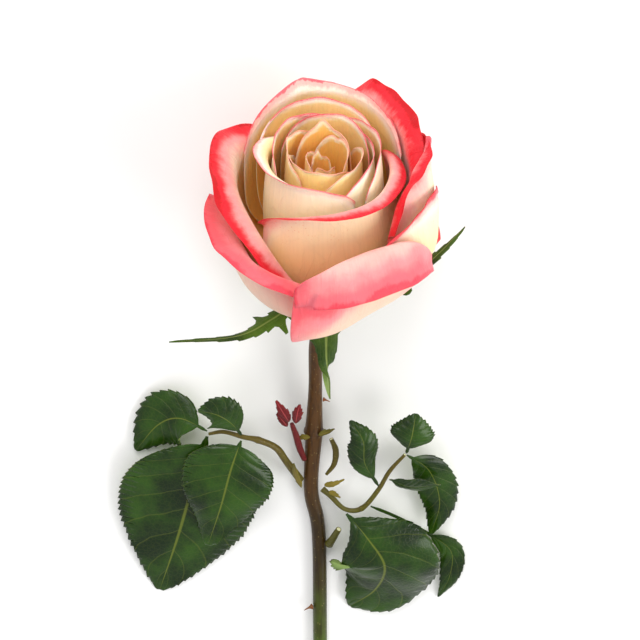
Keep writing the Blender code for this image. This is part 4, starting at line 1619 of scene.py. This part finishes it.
@dataclass
class Blades:
    """Leaflets, bracts, stipules and sepals: toothed, veined and waved.

    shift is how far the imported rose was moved. Blades wider than leaf_from to each side are leaves and
    those under scale_below are scales, both in millimetres.
    """

    shift: Vector
    thickness: float = 0.36 * MM
    rows_per_tooth: int = 5
    leaf_from: float = 12.0
    scale_below: float = 4.0

    def surface(
        self, blade: Blade, look: BladeLook, spine: list, face: Vector, rows: int, seed: int
    ) -> Callable[[int, int], Vector]:
        """A function that places the grid corner at a column and a row of the blade.

        Args:
            blade: The blade's sizes.
            look: Its teeth, quilting and waves.
            spine: Its spine in metres.
            face: Where its upper side looks.
            rows: How many rows the grid has.
            seed: Sets the waves apart from other blades'.

        Returns:
            The placing function.
        """
        half = blade.half_width * MM
        drop = math.sin(math.radians(blade.arch))
        chance = np.random.default_rng(900 + seed)
        left, right = chance.uniform(0.0, 2.0 * math.pi, 2)
        bites = chance.uniform(0.55, 1.25, (look.teeth + 1, 2))

        def place(column: int, row: int) -> Vector:
            """Put one corner in place.

            Args:
                column: Its column.
                row: Its row.

            Returns:
                Where it goes.
            """
            u = 2.0 * column / look.columns - 1.0
            v = row / rows
            point, along, side, outward = spine_frame(spine, v, face)
            rim = smoothstep((abs(u) - 0.7) / 0.3)
            ends = smoothstep((v - blade.neck) / 0.08) * smoothstep((1.0 - v) / 0.06)
            tooth, part = divmod(row, self.rows_per_tooth)
            saw = part / (self.rows_per_tooth - 1) * bites[tooth, int(u > 0.0)]
            size = 1.0 + look.depth * (saw - 0.75) * rim * ends
            for lobe_at, lobe_side, lobe_size in look.lobes:
                if u * lobe_side > 0.0:
                    size += lobe_size * math.exp(-((v - lobe_at) / 0.03) ** 2) * smoothstep(abs(u))
            wide = blade_half(v, blade) * size * (NECK_FOOT + (1.0 - NECK_FOOT) * smoothstep(v / 0.06))
            out = abs(u) * wide
            groove = math.exp(-((out / GROOVE_WIDTH) ** 2)) * smoothstep(v / 0.1)
            phase = math.pi * (v * LEAF_TOP.side_veins - abs(u) * LEAF_TOP.slant)
            swell = abs(math.sin(phase)) ** 0.7 - 0.5
            inside = smoothstep((abs(u) - 0.04) / 0.2) * (1.0 - smoothstep((abs(u) - 0.8) / 0.2)) * ends
            lean = left if u < 0.0 else right
            wave = math.sin(2.0 * math.pi * look.waves * v + lean) * abs(u) ** 2
            wave *= ends * smoothstep((v - blade.neck) / 0.3)
            rise = look.quilt * (swell * inside - groove) + look.warp * wave - wide * drop * u * u
            forward = look.depth * half * saw * rim * ends * 0.8
            return point + side * (wide * u) + outward * rise + along * forward

        return place

    def look(self, name: str, blade: Blade) -> BladeLook:
        """How a blade looks.

        Args:
            name: Its node's name.
            blade: Its sizes.

        Returns:
            Its own look or that of its kind.
        """
        if name in BLADE_LOOKS:
            return BLADE_LOOKS[name]
        if name.startswith("sepal"):
            return SEPAL_LOOK
        if blade.half_width < self.scale_below:
            return SCALE_LOOK
        return LEAF_LOOK if blade.half_width > self.leaf_from else SMALL_LEAF_LOOK

    def add(
        self,
        name: str,
        blade: Blade,
        spine: list,
        face: Vector,
        slot: str,
        finishes: tuple,
        place: Matrix,
        seed: int,
    ) -> None:
        """Make one blade as a thin piece.

        Args:
            name: The CAD node it replaces.
            blade: Its sizes.
            spine: Its spine in metres.
            face: Where its upper side looks.
            slot: The record's material slot.
            finishes: The finishes of its upper and its lower skin.
            place: From the spine's space to the frame's.
            seed: Sets it apart from other blades.
        """
        look = self.look(name, blade)
        rows = look.teeth * self.rows_per_tooth
        bm = sheet(look.columns, rows, self.surface(blade, look, spine, face, rows, seed))
        wide = look.columns + 1
        map_sheet(bm, "blade_lay", lambda spot: ((spot % wide) / look.columns, (spot // wide) / rows))
        finish_piece(name, bm, slot, finishes, place, self.thickness)

    def build(self) -> None:
        """Make every blade."""
        lying, head = Matrix.Translation(self.shift), head_matrix(self.shift)
        seed = 0
        for name, blade in (LEAFLETS | SCALES).items():
            seed += 1
            spine = [Vector(p) * MM for p in blade.spine]
            slot, finishes = "leaf_green", (LEAF_TOP, LEAF_UNDER)
            if name.startswith("shoot"):
                slot, finishes = "young_red", (YOUNG_TOP, YOUNG_TOP)
            elif name in SCALES:
                finishes = (BRACT_TOP, BRACT_TOP)
            self.add(name, blade, spine, Vector(blade.face), slot, finishes, lying, seed)
        for name, blade in SEPALS.items():
            seed += 1
            spine = []
            for azimuth, radius, height in blade.spine:
                angle = math.radians(azimuth)
                spine.append(Vector((radius * math.sin(angle), -radius * math.cos(angle), height)) * MM)
            middle = spine[len(spine) // 2]
            face = Vector((middle.x, middle.y, 0.0)).normalized() * -0.3 + UP
            self.add(name, blade, spine, face, "sepal_green", (SEPAL_TOP, SEPAL_UNDER), head, seed)


@dataclass
class Stalks:
    """Stem, leaf stalks, shoot, prickles and hip.

    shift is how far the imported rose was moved. ridge and collar are the height, as a share of the radius,
    and the reach of the two swellings at a joint. foot_radius, tip_radius and hook are shares of a
    prickle's length.
    """

    shift: Vector
    stem_sides: int = 28
    stem_rings: int = 260
    stem_joint: float = 0.487
    stalk_sides: int = 16
    stalk_rings: int = 14
    stalk_joint: float = 0.5
    ridge: tuple = (0.16, 0.9 * MM)
    collar: tuple = (0.10, 4.0 * MM)
    foot_radius: float = 0.34
    tip_radius: float = 0.03
    hook: float = 0.22

    def tube(self, stalk: Stalk, sides: int, rings: int, joints: tuple, seed: int) -> bmesh.types.BMesh:
        """A round stalk with closed, slightly rounded ends and a ridge at each joint.

        Args:
            stalk: Its line and radii.
            sides: Faces round it.
            rings: Faces along it.
            joints: Places along it, from 0 to 1, with a ridge.
            seed: Sets its unevenness apart from other stalks'.

        Returns:
            The closed mesh.
        """
        points = [Vector(p) * MM for p in stalk.points]
        radii = [Vector((r * MM, 0.0, 0.0)) for r in stalk.radii]
        length = sum((b - a).length for a, b in zip(points, points[1:]))

        def place(column: int, row: int) -> Vector:
            """Put one corner in place.

            Args:
                column: Its column.
                row: Its row.

            Returns:
                Where it goes.
            """
            t = row / rings
            point, _, side, outward = spine_frame(points, t, UP)
            angle = 2.0 * math.pi * (column % sides) / sides
            swell = 1.0 + 0.025 * math.sin(3.0 * angle + 9.0 * t + seed)
            swell += 0.02 * math.sin(31.0 * t + 2.0 * angle)
            for joint in joints:
                away = (t - joint) * length
                for rise, reach in (self.ridge, self.collar):
                    swell += rise * math.exp(-((away / reach) ** 2))
            return point + spline(radii, t).x * swell * (side * math.cos(angle) + outward * math.sin(angle))

        bm = sheet(sides, rings, place)
        wide = sides + 1
        map_sheet(bm, "tube_lay", lambda spot: ((spot % wide) / sides, (spot // wide) / rings))
        bmesh.ops.remove_doubles(bm, verts=bm.verts, dist=SEAM)
        filled = bmesh.ops.holes_fill(bm, edges=bm.edges, sides=sides)["faces"]
        bmesh.ops.recalc_face_normals(bm, faces=bm.faces)
        bmesh.ops.inset_region(bm, faces=filled, thickness=0.25 * min(stalk.radii) * MM, use_even_offset=True)
        for face in filled:
            face.material_index = 1
        return bm

    def prickle(self, foot: tuple, way: tuple, length: float) -> bmesh.types.BMesh:
        """A hooked thorn on a flared foot.

        Args:
            foot: Where it stands, in millimetres.
            way: Where it points.
            length: Its length in millimetres.

        Returns:
            The closed mesh.
        """
        tall = length * MM
        turn = UP.rotation_difference(Vector(way)).to_matrix().to_4x4()
        middle = Vector(foot) * MM + Vector(way).normalized() * (0.5 * tall)
        bm = bmesh.new()
        bmesh.ops.create_cone(
            bm,
            cap_ends=True,
            segments=20,
            radius1=self.foot_radius * tall,
            radius2=self.tip_radius * tall,
            depth=tall,
        )
        sides = [edge for edge in bm.edges if abs(edge.verts[0].co.z - edge.verts[1].co.z) > 0.5 * tall]
        bmesh.ops.subdivide_edges(bm, edges=sides, cuts=9, use_grid_fill=True)
        for vert in bm.verts:
            rise = vert.co.z / tall + 0.5
            slim = 1.0 - 0.45 * math.sin(math.pi * rise)
            vert.co.x *= slim
            vert.co.y *= slim
        layer = bm.loops.layers.uv.new("tube_lay")
        for face in bm.faces:
            for loop in face.loops:
                spot = loop.vert.co
                loop[layer].uv = (0.5 + math.atan2(spot.y, spot.x) / (2.0 * math.pi), spot.z / tall + 0.5)
        bm.transform(Matrix.Translation(middle) @ turn)
        for vert in bm.verts:
            rise = (vert.co - Vector(foot) * MM).dot(Vector(way).normalized()) / tall
            vert.co.y -= self.hook * tall * max(rise, 0.0) ** 2
        return bm

    def hip(self) -> bmesh.types.BMesh:
        """The urn under the bloom, with the post that the inner petals stand round.

        Returns:
            The closed mesh.
        """
        bm = bmesh.new()
        fine = []
        points = [Vector((radius, 0.0, height)) * MM for radius, height in HIP_PROFILE]
        for low, high in zip(points, points[1:]):
            fine += [low.lerp(high, part / 4.0) for part in range(4)]
        fine.append(points[-1])
        verts = [bm.verts.new(point) for point in fine]
        edges = [bm.edges.new(pair) for pair in zip(verts, verts[1:])]
        bmesh.ops.spin(
            bm,
            geom=verts + edges,
            cent=(0.0, 0.0, 0.0),
            axis=UP,
            angle=2.0 * math.pi,
            steps=40,
            use_merge=True,
        )
        bmesh.ops.remove_doubles(bm, verts=bm.verts, dist=SEAM)
        bmesh.ops.recalc_face_normals(bm, faces=bm.faces)
        bmesh.ops.smooth_vert(
            bm, verts=bm.verts, factor=0.5, use_axis_x=True, use_axis_y=True, use_axis_z=True
        )
        layer = bm.loops.layers.uv.new("blade_lay")
        for face in bm.faces:
            for loop in face.loops:
                spot = loop.vert.co
                turn = (0.5 + math.atan2(spot.y, spot.x) / (2.0 * math.pi)) * 5.0
                loop[layer].uv = (0.25 + 0.5 * abs(turn % 1.0 - 0.5) * 2.0, spot.z / (18.0 * MM) + 0.7)
        return bm

    def build(self) -> None:
        """Make every stalk, thorn and the hip."""
        lying = Matrix.Translation(self.shift)
        bm = self.tube(STEM, self.stem_sides, self.stem_rings, (self.stem_joint,), 1)
        finish_piece("stem", bm, "stem_bark", (STEM_BARK, CUT_PITH), lying)
        for number, (name, stalk) in enumerate(STALKS.items()):
            young = name == "young_shoot"
            joints = (self.stalk_joint,) if name.startswith("leaf_stalk") else ()
            rings = self.stalk_rings * len(stalk.points)
            bm = self.tube(stalk, self.stalk_sides, rings, joints, number)
            finishes = (YOUNG_BARK, YOUNG_BARK) if young else (STALK_BARK, CUT_PITH)
            finish_piece(name, bm, "young_red" if young else "stem_bark", finishes, lying)
        for name, (foot, way, length) in PRICKLES.items():
            finish_piece(name, self.prickle(foot, way, length), "stem_bark", (PRICKLE_SKIN,), lying)
        finish_piece("hip", self.hip(), "sepal_green", (SEPAL_UNDER,), head_matrix(self.shift))


# ---------------------------------------------------------------- studio


@dataclass
class Studio:
    """Table, lights and camera.

    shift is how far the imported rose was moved. key and fill are where the lights hang from the bloom, and
    look is what the camera looks at, from the bloom too, with the view then lowered a little.
    """

    shift: Vector
    table_size: float = 6.0
    tilt: float = 25.0
    lens: float = 200.0
    sensor: float = 36.0
    view_width: float = 0.2304
    lowered: float = 0.0108
    look: tuple = (-0.0007, -0.0055, -0.0025)
    world_strength: float = 0.74
    light_colour: tuple = (1.0, 0.99, 0.97)
    key: tuple = (0.75, -0.15, 0.60)
    key_size: float = 0.6
    key_power: float = 6.0
    fill: tuple = (-0.15, 0.95, 0.85)
    fill_size: float = 0.7
    fill_power: float = 10.0

    def table(self) -> None:
        """A plain pale floor."""
        bm = bmesh.new()
        bmesh.ops.create_grid(bm, x_segments=1, y_segments=1, size=0.5 * self.table_size)
        mesh = bpy.data.meshes.new("table")
        bm.to_mesh(mesh)
        bm.free()
        mesh.materials.append(SHELF.take(TableFinish()))
        floor = bpy.data.objects.new("table", mesh)
        bpy.context.scene.collection.objects.link(floor)

    def lamp(self, name: str, place: tuple, size: float, power: float) -> None:
        """One soft square light that looks at the bloom.

        Args:
            name: The light's name.
            place: Where it hangs, from the bloom.
            size: Its side, in metres.
            power: Its power, in watts.
        """
        light = bpy.data.lights.new(name, "AREA")
        light.size = size
        light.energy = power
        light.color = self.light_colour
        lamp = bpy.data.objects.new(name, light)
        lamp.location = HEAD_PLACE + self.shift + Vector(place)
        lamp.rotation_euler = Vector(place).to_track_quat("Z", "Y").to_euler()
        bpy.context.scene.collection.objects.link(lamp)

    def light(self) -> None:
        """Bright white surroundings, a soft key from the right and a stronger fill from beyond the bloom."""
        world = bpy.data.worlds.new("studio")
        world.use_nodes = True
        shade = world.node_tree.nodes["Background"]
        shade.inputs[0].default_value = (1.0, 1.0, 1.0, 1.0)
        shade.inputs[1].default_value = self.world_strength
        bpy.context.scene.world = world
        self.lamp("key", self.key, self.key_size, self.key_power)
        self.lamp("fill", self.fill, self.fill_size, self.fill_power)

    def camera(self) -> None:
        """A long lens above the rose, leaning towards its bloom."""
        lean = math.radians(self.tilt)
        back = Vector((0.0, math.sin(lean), math.cos(lean)))
        up = Vector((0.0, math.cos(lean), -math.sin(lean)))
        right = up.cross(back)
        aim = HEAD_PLACE + self.shift + Vector(self.look) - up * self.lowered
        data = bpy.data.cameras.new("camera")
        data.lens = self.lens
        data.sensor_width = self.sensor
        data.clip_start = 0.01
        camera = bpy.data.objects.new("camera", data)
        distance = self.view_width * self.lens / self.sensor
        turn = Matrix((right, up, back)).transposed().to_4x4()
        camera.matrix_world = Matrix.Translation(aim + back * distance) @ turn
        bpy.context.scene.collection.objects.link(camera)
        bpy.context.scene.camera = camera

    def build(self) -> None:
        """Set the studio up."""
        self.table()
        self.light()
        self.camera()
        bpy.context.scene.view_settings.view_transform = "Standard"


def main() -> None:
    """Build the rose and its studio."""
    logging.basicConfig(level=logging.INFO, format="%(message)s")
    shift = frame_shift()
    Studio(shift).build()
    Petals(head_matrix(shift)).build()
    Blades(shift).build()
    Stalks(shift).build()


if __name__ == "__main__":
    main()
